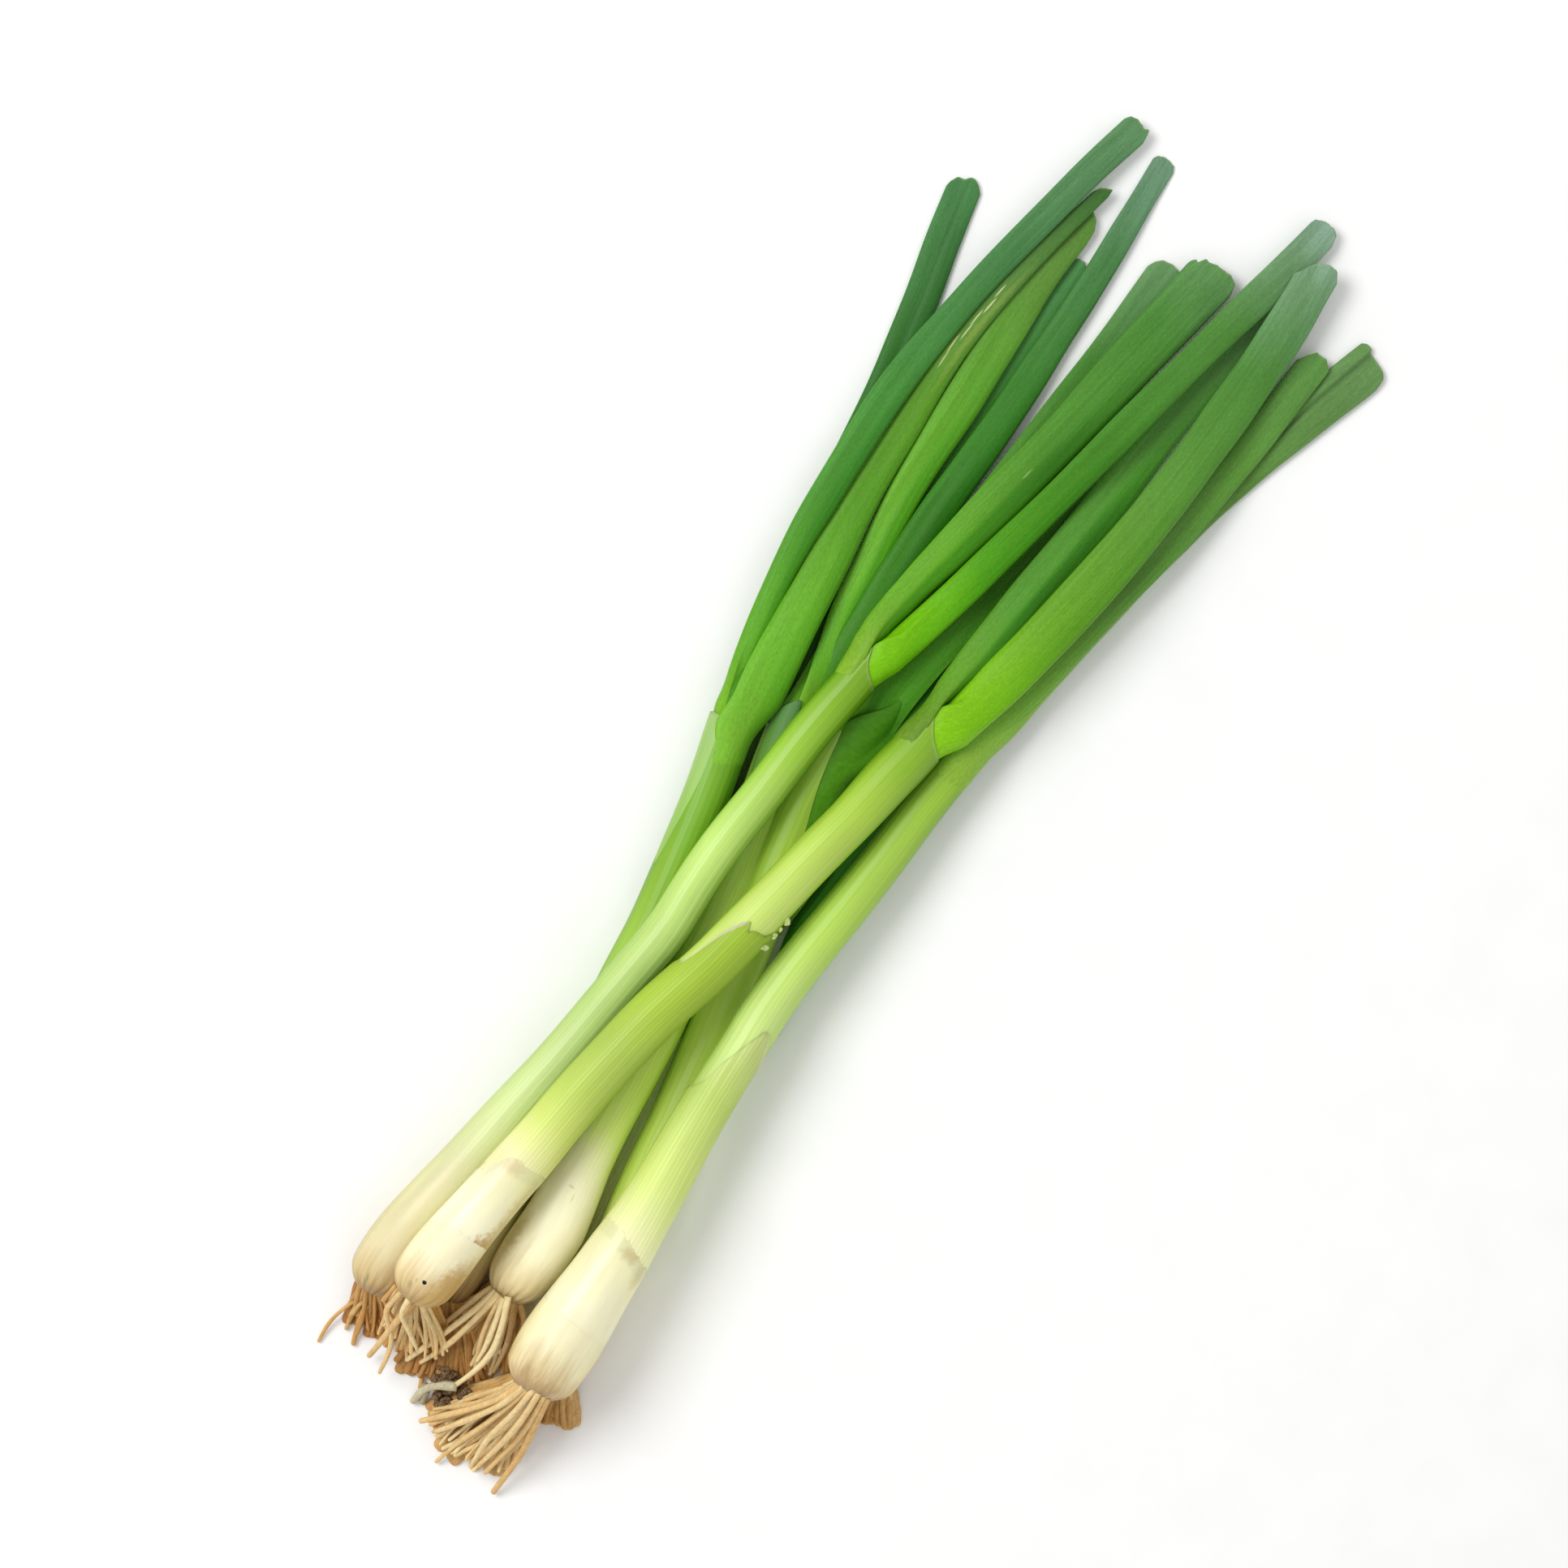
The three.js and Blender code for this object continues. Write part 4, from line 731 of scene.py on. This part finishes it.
for number, (name, look) in enumerate(LEAVES.items()):
    strand = read_strand(name, head=2.0, tail=6.5, swell=1.08)
    length = strand["length"]
    # The rings run up the outside from the base to the cut, and 6 mm back down inside it.
    outside = np.concatenate([
        np.linspace(-look.get("back", 8), 40, 70, endpoint=False),
        np.linspace(40, length - 12, 74, endpoint=False), np.linspace(length - 12, length, 20)])
    rows = np.concatenate([outside, [length + 0.1, length], np.linspace(length - 0.6, length - 6, 6)])
    inward = np.concatenate([0 * outside, [0.18, 0.32], np.linspace(0.35, 0.5, 6)])[:, None]
    s, phi = np.meshgrid(rows, turn, indexing="ij")
    lateral = np.cos(phi)
    ends = np.array(look["tip"])[::-1]
    end = soften_round(np.interp(lateral[0], ends[:, 0], ends[:, 1]), 0.6)
    end = end + 0.12 * drift(lateral[0], 0.5, number)
    s = s + end * ease(s, length - 14, length)
    middle, along, side, up, a, b = at(strand, s)
    # A flattened tube, a little squarer than an ellipse, that is pressed almost shut at the cut.
    power = 2.25
    cosine = np.sign(lateral) * np.abs(lateral) ** (2 / power)
    sine = np.sign(np.sin(phi)) * np.abs(np.sin(phi)) ** (2 / power)
    shut = 1 - 0.62 * ease(s, length - 18, length)
    y = (a * (1 + 0.03 * drift(s, 45, 200 + number)) - inward) * cosine
    z = np.maximum(b * shut - 0.6 * inward, 0.06) * sine
    # A shallow trough wanders down its upper side, and creases cut narrow valleys into it, which are darkened
    # as painted shade.
    top = ease(sine, 0, 0.5)
    off = 0.15 + 0.3 * drift(s, 130, 230 + number)
    z = z - 0.2 * b * top * np.exp(-((y / a - off) / 0.4) ** 2) * ease(s, 30, 70)
    crease = 0 * s
    for s0, s1, c0, c1, width, depth in look.get("crease", ()):
        line = c0 + (c1 - c0) * (s - s0) / (s1 - s0)
        valley = np.exp(-((y / a - line) / width) ** 2) * ease(s, s0, s0 + 20) * top
        z = z - depth * valley * (1 - 0.6 * ease(s, s1 - 14, s1))
        crease = crease + min(0.7, 1.4 * depth) * valley
    points = middle + side * y[..., None] + up * z[..., None]
    # Painted shade: on the upper face the -Y side, turned from the light, is deepened between about 6 and 120
    # mm from the base.
    side_shade = look.get("side_shade", 0.15) * (1 - ease(y / a, -0.35, 0.1)) * ease(s, 6, 24)
    side_shade = side_shade * (1 - ease(s, 70, 120)) * top
    if "nest" in look or "grip" in look:
        # In the mouth a leaf has the stem's own round section: an inner leaf the whole ring, a little
        # smaller, an outer leaf an arc that comes up flush through the stem's skin. Past the rim both ease
        # into the free tube, sideways over the first span of leave and in height over the second.
        plant = name[:7]
        stem = stems[plant]
        foot = at(strand, np.zeros(1))[0][0]
        nearest = np.argmin(np.linalg.norm(stem["values"][:, :3] - foot, axis=1))
        past = stem["s"][nearest] - stem["length"] + s
        middle, side, up, a, b = round_stem(plant, past + stem["length"], phi)
        points = points + side * (look.get("shift", 0) * (1 - ease(past, 2, 34)))[..., None]
        if "grip" in look:
            high, low = np.radians(look["arc"])
            if look["grip"] > 0:
                lean, outer = np.arcsin(np.clip(np.sin(phi), -1, 1)) / (math.pi / 2), lateral > 0
            else:
                lean, outer = 1 - 2 * np.arccos(lateral) / math.pi, np.sin(phi) > -1e-6
            angle = (high + low) / 2 + (high - low) / 2 * lean
            angle = angle if look["grip"] > 0 else math.pi - angle
            radius = np.where(outer, -0.5 + 0.62 * ease(past, -14, -4), -0.8)
            radius = radius - 0.35 * ease(np.abs(lean), 0.8, 1) * (1 - ease(past, -3, 0.5))
            out, spans = past, look.get("leave", (-8, 8, -2, 24))
        else:
            mouth = soften_round(np.interp(np.degrees(turn), *zip(*STEMS[plant]["rim"])), 0.8)
            out, spans = past - np.maximum(mouth, -20), look.get("leave", (0, 13, 0, 26))
            swell = look["nest"] + 0.05 if look["nest"] < 1 else 0
            angle, radius = phi, -look["nest"] + swell * ease(out, 0, 4)
        base = ring(middle, side, up, a + radius, b + radius, angle)
        away = points - base
        rise = (away * up).sum(-1, keepdims=True) * up
        flat = away - rise
        points = base + flat * ease(out, *spans[:2])[..., None] + rise * ease(out, *spans[2:])[..., None]
        where, plus, minus, lift = np.array(look.get("sides", [(0, 0, 0, 0)]), float).T
        wider = np.where(lateral > 0, np.interp(past, where, plus), np.interp(past, where, minus))
        points = points + side * (wider * np.abs(lateral))[..., None]
        points = points + up * np.interp(past, where, lift)[..., None]
    points[..., 2] = np.maximum(points[..., 2], 0.05)
    stops = GREENS[look["greens"]]
    if "base" in look:
        stops = [(0, look["base"]), (5, look["base"])] + stops
    # Painted shade: the crease valleys and the inside of the cut are darkened.
    fields = {"strand": np.stack([s, y, z], -1), "crease": np.clip(crease + 0.5 * (inward > 0.33), 0, 1),
              "side_shade": side_shade, "edge": 0.3 * ease(s, length + end - 0.6, length + end)}
    # Leaf skin: a thin matt wax over deep green, pored, with a soft sheen and no clear highlight.
    material = living_skin(f"{name} waxy leaf skin", stops, (26, 0.35), roughness=0.46, gloss=0.22,
                           streak=0.6, rim="#9CB478", speckle=0.6, marks=look.get("marks", ()))
    skin(name + "_blade", points, fields, material, [name])

# Limp leaves low in the bunch: their middle line as [x, y], their half width, how high their ends and their
# middle lie, and their colours. The fourth and sixth plants' blades are sheets laid into gaps between the
# stems that show only shade, as painted shade; the sixth's dark greens are painted shade too.
UNDER = {
    "onion_4_limp_blade": dict(
        half=4.0, z=(5.0, 5.0),
        line=[(-136, -26), (-118, -22.4), (-100, -20), (-84, -17.7), (-70, -16.3), (-56, -14.8), (-39, -13.9),
            (-21, -14.6), (-1, -14.1)],
        stops=[(0, "#B4B484"), (60, "#9CAE60"), (90, "#6C9434")]),
    "onion_6_limp_blade": dict(
        half=4.6, z=(0.9, 0.9),
        line=[(-25, 11.4), (-11, 12.8), (-2, 14.3), (7, 15.8), (16, 17.3), (26.5, 20), (37, 22.7),
            (50, 25.7)],
        stops=[(0, "#5C6A40"), (30, "#46602C"), (60, "#2E6018")]),
    "onion_3_limp_blade": dict(
        half=6.4, z=(7.5, 11.0),
        line=[(-16, -8.4), (-3.4, -7.9), (13, -6.2), (27, -4.8), (40, -5.4), (53.4, -6.8), (72, -8.3),
            (89, -11), (108, -14.4)],
        stops=[(0, "#4A8C1E"), (50, "#4E9222"), (80, "#468420"), (110, "#427E22")]),
}
for number, (name, look) in enumerate(UNDER.items()):
    line = np.array(look["line"])
    run = np.concatenate([[0], np.cumsum(np.linalg.norm(np.diff(line, axis=0), axis=1))])
    length = run[-1]
    rows = np.linspace(0, length, 90)
    line = soften(rows, np.stack([np.interp(rows, run, line[:, i]) for i in (0, 1)], 1), 4)
    along = np.gradient(line, rows, axis=0)
    along /= np.linalg.norm(along, axis=1, keepdims=True)
    s, phi = np.meshgrid(rows, np.linspace(0, 2 * math.pi, 48, endpoint=False), indexing="ij")
    taper = np.sqrt(np.clip(np.minimum(s, length - s) / 14, 0.04, 1))
    y = look["half"] * taper * np.cos(phi)
    # The blade is a flat tube with two soft folds along it, and its middle rests on the plants below.
    low, high = look["z"]
    fold = 0.25 * np.cos(3 * np.pi * np.cos(phi) + 0.8 * drift(s, 60, number))
    z = low + (high - low) * ease(s, 20, 60) * (1 - ease(s, length - 65, length - 30))
    z = z + (0.5 * taper + fold) * np.sin(phi)
    side = np.stack([-along[:, 1], along[:, 0]], 1)
    plan = line[:, None] + side[:, None] * y[..., None]
    points = np.concatenate([plan, np.maximum(z, 0.1)[..., None]], -1)
    fields = {"strand": np.stack([s, y, z], -1), "crease": 0 * s}
    # Limp leaf skin: its wax has worn off and it is dull all over.
    material = living_skin(f"{name} limp dull leaf skin", look["stops"], (20, 0.5), roughness=0.6, gloss=0.15,
                           streak=0.8, speckle=0.6)
    skin(name, points, fields, material)


# ======================================================================================================
# The roots
# Dry fibrous strands, most of them trimmed, that leave a hard brown plate under the bulb and sink to the
# table. They are pale tan where the light reaches them and brown in the thick of the tuft, partly because the
# oldest have gone flat and papery there and partly as painted shade.
# ======================================================================================================

def root_tubes(start, heading, length, rest, bow, wave, thick, flat, blunt, steps=18):
    """Roots as thin tubes, one per item of the given arrays. In plan a root leaves start along its heading
    and bends by the angle bow over its length, with a small wave. Its height eases from the start's to rest.
    flat squashes the tube's height, and blunt is the share of its thickness that is left at its end."""
    t = np.linspace(0, 1, steps)[None]
    turn = heading[:, None] + bow[:, None] * (t - 0.2) + wave[:, None, 0] * np.sin(
        wave[:, None, 1] * t + wave[:, None, 2])
    step = length[:, None] / (steps - 1)
    x = start[:, :1] + np.cumsum(np.cos(turn) * step, 1) - np.cos(turn[:, :1]) * step
    y = start[:, 1:2] + np.cumsum(np.sin(turn) * step, 1) - np.sin(turn[:, :1]) * step
    z = start[:, 2:3] + (rest[:, None] - start[:, 2:3]) * ease(t, -0.2, 0.95)
    return tube_skin(np.stack([x, y, z], -1), thick, flat, blunt, wave[:, 2])


def led_roots(paths, thick, steps=18):
    """Roots led through given [x, y, z] points, which are spaced by their distances and then softened."""
    middle = []
    for path in paths:
        path = np.array(path, float)
        run = np.concatenate([[0], np.cumsum(np.linalg.norm(np.diff(path, axis=0), axis=1))])
        even = np.linspace(0, run[-1], steps)
        line = np.stack([np.interp(even, run, column) for column in path.T], 1)
        soft = soften(even, line, run[-1] * 0.09)
        keep = np.minimum(even, run[-1] - even)[:, None] / run[-1]
        middle.append(line + (soft - line) * ease(keep, 0, 0.1))
    count = len(paths)
    flat = blunt = np.full(count, 0.85)
    return tube_skin(np.stack(middle), np.array(thick), flat, blunt, np.linspace(0, 5, count))


def tube_skin(middle, thick, flat, blunt, phase, sides=8):
    """Rings of points round the given middle lines (roots, steps, 3), and the distance along each root. The
    radius tapers by a fifth, with small knots as a sine of the distance, and closes over the last third."""
    t = np.linspace(0, 1, middle.shape[1])[None]
    along = np.gradient(middle, axis=1)
    along /= np.linalg.norm(along, axis=2, keepdims=True)
    side = np.cross([0, 0, 1.0], along)
    side /= np.linalg.norm(side, axis=2, keepdims=True)
    over = np.cross(along, side)
    radius = thick[:, None] / 2 * (1 - 0.2 * t) * (1 + 0.08 * np.sin(9 * t + phase[:, None]))
    radius = radius * (1 - (1 - blunt[:, None]) * ease(t, 0.7, 1))
    # Two small rings past the end round it off.
    tip = along[:, -1:] * radius[:, -1:, None]
    middle = np.concatenate([middle, middle[:, -1:] + 0.5 * tip, middle[:, -1:] + 0.87 * tip], 1)
    side, over = (np.concatenate([v, v[:, -1:], v[:, -1:]], 1) for v in (side, over))
    radius = np.concatenate([radius, 0.87 * radius[:, -1:], 0.5 * radius[:, -1:]], 1)
    angle = np.linspace(0, 2 * math.pi, sides, endpoint=False)
    ring = side[:, :, None] * np.cos(angle)[:, None] + over[:, :, None] * (
        np.sin(angle)[:, None] * flat[:, None, None, None])
    points = middle[:, :, None] + ring * radius[:, :, None, None]
    points[..., 2] += np.clip(0.08 - points[..., 2].min(2), 0, None)[:, :, None]
    steps = np.linalg.norm(np.diff(middle, axis=1), axis=2)
    run = np.concatenate([np.zeros((len(middle), 1)), np.cumsum(steps, 1)], 1)
    return points, np.broadcast_to(run[:, :, None], points.shape[:3])


def many_closed(name, points, fields, material, nodes=()):
    """One mesh of many closed forms, each a stack of rings (forms, rings, columns, 3). Quads join
    neighbouring rings, and one flat face closes each end."""
    count, rows, columns = points.shape[:3]
    index = np.arange(count * rows * columns).reshape(count, rows, columns)
    beside = np.roll(index, -1, 2)
    quads = np.stack([index[:, :-1], beside[:, :-1], beside[:, 1:], index[:, 1:]], -1).reshape(-1)
    corners = np.concatenate([quads, index[:, -1].ravel(), index[:, 0, ::-1].ravel()])
    sizes = np.concatenate([np.full(len(quads) // 4, 4), np.full(2 * count, columns)])
    return mesh_piece(name, points.reshape(-1, 3), corners, sizes, fields, material, nodes)


def tuft(name, tubes, tones, material, nodes=()):
    """One mesh of many roots, from their [points, distances along them] and their tones."""
    points = np.concatenate([p for p, _ in tubes])
    run = np.concatenate([r for _, r in tubes])
    tone = np.broadcast_to(tones[:, None, None], run.shape)
    strand = np.stack([run, points[..., 1], points[..., 2]], -1)
    fields = {"strand": strand.reshape(-1, 3), "tone": tone.reshape(-1)}
    return many_closed(name, points, fields, material, nodes)


def root_skin(name, stops):
    """The skin of a root. Each root takes its own tone on the ramp stops, moved a little by slow noise, and
    fine streaks run along it."""
    material, tree = blank(name)
    place = add(tree, "ShaderNodeAttribute", attribute_name="strand").outputs["Vector"]
    tone = add(tree, "ShaderNodeAttribute", attribute_name="tone").outputs["Fac"]
    slow = add(tree, "ShaderNodeTexNoise", {"Vector": place, "Scale": 0.22, "Detail": 2.0})
    tone = add(tree, "ShaderNodeMath", {0: slow, 1: 0.3, 2: tone}, operation="MULTIPLY_ADD")
    tone = add(tree, "ShaderNodeMath", {0: tone, 1: 0.15}, operation="SUBTRACT")
    shade = add(tree, "ShaderNodeValToRGB", {"Fac": tone}, stops=stops)
    drawn = add(tree, "ShaderNodeVectorMath", {0: place, 1: (0.2, 1.0, 1.0)}, operation="MULTIPLY")
    grain = add(tree, "ShaderNodeTexNoise", {"Vector": drawn, "Scale": 1.8, "Detail": 4.0})
    light = add(tree, "ShaderNodeMapRange", {"Value": grain, "From Min": 0.3, "From Max": 0.7,
                                             "To Min": 0.86, "To Max": 1.12})
    tinted = add(tree, "ShaderNodeVectorMath", {0: shade, "Scale": light}, operation="SCALE")
    relief = add(tree, "ShaderNodeBump", {"Height": grain, "Strength": 0.3, "Distance": 0.15 * MM})
    fibre = add(tree, "ShaderNodeBsdfPrincipled", {
        "Base Color": tinted, "Roughness": 0.55, "Specular IOR Level": 0.3, "Normal": relief,
        "Subsurface Weight": 0.25, "Subsurface Radius": (1.0, 0.6, 0.3), "Subsurface Scale": 1.0 * MM})
    add(tree, "ShaderNodeOutputMaterial", {"Surface": fibre})
    return material


# Dry root bark: dull tan fibre, brown where it is old, that lets a little light through.
root_material = root_skin("dried fibrous root bark", [
    (0.0, "#7A4A20"), (0.25, "#A8743A"), (0.5, "#C89A58"), (0.75, "#DEBC80"), (1.0, "#ECD9A6")])

# Per plant: the tuft's heading in degrees from -X towards +Y, half its fan, the reach of its roots, their
# thickness, how high the upper ones rest and how pale they are. broad and upper are how many flat roots lie
# lowest and how many pale ones lie on top, and short is the share by which the roots on one side are shorter.
# Then the roots that stand out are led through [x, y, z] points, each with a thickness and a tone.
ROOTS = {
    "onion_1": dict(
        heading=-32, fan=18, reach=(10, 15), thick=1.25, rest=3.5, pale=0.48, upper=22, broad=12,
        led=[
            ([(-164, 13, 8), (-171.4, 14.6, 4), (-176.2, 16.1, 2.6), (-179.9, 16.2, 1.6),
              (-184, 15.6, 0.8)], 1.2, 0.6),
            ([(-163.8, 11, 9), (-170.3, 13.0, 5), (-174, 12.7, 2.5), (-177.4, 11.9, 1)], 1.6, 0.7),
            ([(-163.8, 10, 9), (-169.7, 11.2, 5), (-174.9, 10, 2.5), (-179.4, 8.2, 1)], 1.7, 0.55)]),
    "onion_2": dict(
        heading=-24, fan=26, reach=(15, 19.5), thick=1.45, rest=8, pale=0.8, upper=24, broad=12,
        led=[
            ([(-158, 6, 25), (-165.6, 7, 19), (-169.1, 2.0, 14), (-173.7, -0.3, 10),
              (-180.5, -1.3, 6)], 1.5, 0.85),
            ([(-158, 3.5, 27), (-163, 3.2, 24), (-165.4, -0.6, 19), (-169.3, -5.5, 13)], 1.4, 1.0),
            ([(-157.5, 8, 26), (-163.9, 8.5, 22), (-162, 8.4, 20), (-164.8, 6.8, 17),
              (-166.4, 3.2, 14)], 1.2, 0.6),
            ([(-158, 2, 24), (-167.6, 2.9, 16), (-174.4, 2.9, 9), (-179, 3.2, 4)], 1.9, 0.75)]),
    "onion_3": dict(
        heading=-4, fan=24, reach=(16, 24), thick=1.5, rest=4.5, pale=0.92, upper=13, broad=12,
        led=[
            ([(-146, -11.5, 12), (-150, -9.9, 11.5), (-155.7, -8.6, 9), (-163.3, -6.6, 6),
              (-171, -3.9, 2.5)], 1.7, 0.9),
            ([(-146, -12.8, 14), (-150.5, -11.9, 13), (-156.7, -10.3, 11), (-164.3, -8.1, 8),
              (-174.2, -5.0, 4)], 1.9, 1.0),
            ([(-146, -13.6, 15), (-151, -13.2, 13.5), (-157.5, -12.3, 11), (-165, -11.1, 7.5),
              (-172.8, -8.2, 3.5)], 1.8, 0.95),
            ([(-146, -14.6, 15), (-151.2, -15.1, 13), (-157.5, -16.5, 10.5),
              (-166.9, -20.4, 5.5)], 1.6, 0.85),
            ([(-146, -15.2, 16), (-151.3, -16.9, 15), (-158, -18.7, 12.5), (-163.2, -19.3, 10)], 1.7, 1.05),
            ([(-145, -15.9, 16.5), (-150.8, -18.7, 16), (-158.4, -21.2, 13.5), (-165.4, -20.3, 11),
              (-171.6, -18.4, 8)], 1.9, 1.15),
            ([(-146, -17.5, 13), (-150.4, -20.6, 10), (-155.3, -22.4, 6)], 1.8, 0.8),
            ([(-145, -19, 11), (-148.8, -22.9, 8), (-152.5, -23.9, 5)], 1.8, 0.75)]),
    "onion_4": dict(
        heading=-32, fan=16, reach=(9, 13), thick=1.6, rest=1.6, pale=0.9, upper=8, broad=12),
    "onion_5": dict(
        heading=9, fan=21, reach=(25, 30), thick=1.6, rest=6, pale=0.9, upper=44, short=0.12, broad=20,
        led=[([(-158, -31, 25), (-165.3, -29.6, 20), (-174.6, -24.0, 12), (-184.4, -16.8, 5)], 2.0, 0.8),
            ([(-158, -32, 26), (-166, -30.6, 21), (-175.3, -26.3, 13), (-184, -21.4, 6)], 1.8, 0.9),
            ([(-158, -33, 26), (-166.2, -31.9, 20), (-174.6, -30, 12), (-184.3, -27, 5),
              (-191, -25.9, 1.5)], 1.6, 0.85),
            ([(-158, -34, 27), (-166.1, -33.8, 22), (-176.9, -32.4, 13), (-186.4, -33.4, 5)], 1.7, 0.95),
            ([(-158, -35.5, 27), (-166.1, -36.3, 22), (-173.9, -36.2, 15), (-184.8, -34.8, 6)], 1.8, 0.9),
            ([(-158, -37, 26), (-165.5, -38.3, 20), (-172.3, -38.6, 14), (-185.4, -37.2, 5)], 1.7, 0.8),
            ([(-158, -38, 25), (-165.4, -39.4, 19), (-174.6, -41.6, 11), (-188.6, -41.9, 2)], 2.1, 0.7)]),
    "onion_6": dict(
        heading=-29, fan=22, reach=(20, 26), thick=1.6, rest=2.0, pale=0.58, upper=16, broad=14),
}
for number, (name, look) in enumerate(ROOTS.items()):
    random = np.random.default_rng(500 + number)
    middle, along, side, up, a, b = (v[0] for v in at(stems[name], np.array([STEMS[name]["foot"] + 0.6])))
    tubes, tones = [], []
    # From below: broad flat old roots, then the brown thick of the tuft, then the paler roots on top.
    for layer, count in enumerate((look["broad"], 36, look["upper"])):
        spread = np.linspace(-1, 1, count) + random.normal(0, 0.06, count)
        level = (random.uniform(-0.8, -0.3, count), random.uniform(-0.7, 0.3, count),
                 random.uniform(0.1, 0.8, count))[layer]
        start = middle + side * (-spread * a * 0.42)[:, None] + up * (level * b * 0.62)[:, None]
        start = start + along * random.uniform(-0.4, 0.6, count)[:, None]
        heading = math.pi - np.radians(look["heading"] - look["fan"] * spread * (1.08, 1.0, 0.95)[layer])
        length = (1.0, 0.97, 1.0)[layer] * random.uniform(*look["reach"], count) * (1 - 0.12 * spread ** 2)
        length = length * (1 - look.get("short", 0) * np.clip(spread, 0, 1))
        rest = (np.full(count, 0.8), random.uniform(0.9, 3.0, count),
                random.uniform(0.5, 1.0, count) * look["rest"])[layer]
        bow = random.normal(0, (0.08, 0.16, 0.22)[layer], count)
        wave = np.stack([random.uniform(0.0, (0.08, 0.1, 0.22)[layer], count), random.uniform(3, 6, count),
                         random.uniform(0, 6, count)], 1)
        thick = (2.9, 1.3, 1.0)[layer] * look["thick"] * random.uniform(0.8, 1.15, count)
        flat = np.full(count, (0.24, 0.7, 0.9)[layer])
        blunt = random.choice(((1.0, 0.9), (1.0, 0.9, 0.7), (1.0, 0.9, 0.7))[layer], count)
        tubes.append(root_tubes(start, heading, length, rest, bow, wave, thick, flat, blunt))
        # Painted shade in part: the two lower layers are toned darker than the pale roots on top.
        tones.append(random.uniform(0.8, 1.05, count) * look["pale"] * (0.7, 0.62, 1.0)[layer])
    if "led" in look:
        paths, thick, tone = zip(*look["led"])
        tubes.append(led_roots(paths, thick))
        tones.append(np.array(tone) * 0.92)
    tuft(f"{name}_root_tuft", tubes, np.concatenate(tones), root_material, [f"{name}_roots"])

# Grey root bark: one flat root of the sixth plant has weathered to a dull grey.
grey_bark = root_skin("weathered grey root bark", [(0.0, "#7E765A"), (0.6, "#B0A888"), (1.0, "#D0C8A6")])
grey_root = led_roots([[(-171.8, -18.9, 8), (-174.3, -14.8, 7), (-177.5, -12.6, 5), (-182.2, -12.3, 1.4)],
                       [(-176.5, -12.6, 5), (-179, -13.6, 3), (-181, -14.2, 1.2)]], [2.4, 2.6])
tuft("onion_6_grey_root", [grey_root], np.array([0.8, 0.6]), grey_bark)


# ======================================================================================================
# The crumbs
# Small lumps that cling to the bunch: dark garden soil between the roots in the middle, and crumbs of dried
# skin that broke off the second plant's torn sheath.
# ======================================================================================================

def lumps(name, where, size, seed, material):
    """Crumbs as small lumpy balls in one mesh: spheres at the points where, with a radius of size that swells
    and dips by three sines of the angles round and down them."""
    random = np.random.default_rng(seed)
    where, size = np.array(where, float)[:, None, None], np.array(size, float)[:, None, None]
    falls, turns = np.linspace(0.06, math.pi - 0.06, 9), np.linspace(0, 2 * math.pi, 14, endpoint=False)
    fall, turn = np.meshgrid(falls, turns, indexing="ij")
    kick = random.uniform(0, 6, (len(where), 1, 1, 4))
    swell = 1 + 0.22 * np.sin(2 * turn + kick[..., 0] + 2 * fall)
    swell = swell + 0.16 * np.sin(3 * fall + kick[..., 1] - turn) + 0.1 * np.sin(5 * turn + kick[..., 2])
    ball = np.stack([np.sin(fall) * np.cos(turn), np.sin(fall) * np.sin(turn), 0.8 * np.cos(fall)], -1)
    points = where + ball * (swell * size)[..., None]
    points[..., 2] += np.clip(0.05 - points[..., 2].min((1, 2)), 0, None)[:, None, None]
    points = points[:, ::-1]
    return many_closed(name, points, {"strand": points.reshape(-1, 3)}, material)


# Dried loam: dark and crumbly, with paler grit in it.
material, tree = blank("dried loam, crumbly")
place = add(tree, "ShaderNodeAttribute", attribute_name="strand").outputs["Vector"]
grit = add(tree, "ShaderNodeTexNoise", {"Vector": place, "Scale": 1.6, "Detail": 5.0, "Roughness": 0.7})
shade = add(tree, "ShaderNodeValToRGB", {"Fac": grit}, stops=[
    (0.35, "#42321F"), (0.52, "#745C42"), (0.68, "#A88C66")])
relief = add(tree, "ShaderNodeBump", {"Height": grit, "Strength": 0.8, "Distance": 0.5 * MM})
loam = add(tree, "ShaderNodeBsdfPrincipled", {"Base Color": shade, "Roughness": 0.85,
                                              "Specular IOR Level": 0.2, "Normal": relief})
add(tree, "ShaderNodeOutputMaterial", {"Surface": loam})
# Three heaps of crumbs: where their middle is, how far they are strewn, and how many there are.
random = np.random.default_rng(60)
where = np.concatenate([random.normal(heap, strewn, (count, 3)) for heap, strewn, count in (
    ((-172.0, -15.6, 6.0), (1.0, 1.6, 0.8), 11), ((-172.2, -21.4, 6.0), (0.8, 0.9, 0.8), 7),
    ((-176.6, -18.2, 2.8), (1.3, 1.5, 0.8), 12))])
lumps("soil_crumbs", where, random.uniform(0.7, 1.7, len(where)), 61, material)

# The dry crumbs sit on the second stem, just past its torn sheath. Dead sheath skin: pale, matt and powdery.
s, phi = np.array([131.0, 128.6, 126.4, 122.8]), np.radians([163.0, 166.0, 163.0, 165.0])
middle, side, up, a, b = round_stem("onion_2", s, phi)
where = ring(middle, side, up, a + 0.5, b + 0.5, phi)
material = living_skin("dried sheath crumbs, matt", [(0, "#BCCB84"), (200, "#BCCB84")], (20, 0.1),
                       roughness=0.6, gloss=0.2, flesh=0.1, streak=0.6)
lumps("onion_2_dry_crumbs", where, [0.9, 0.55, 0.75, 1.0], 62, material)
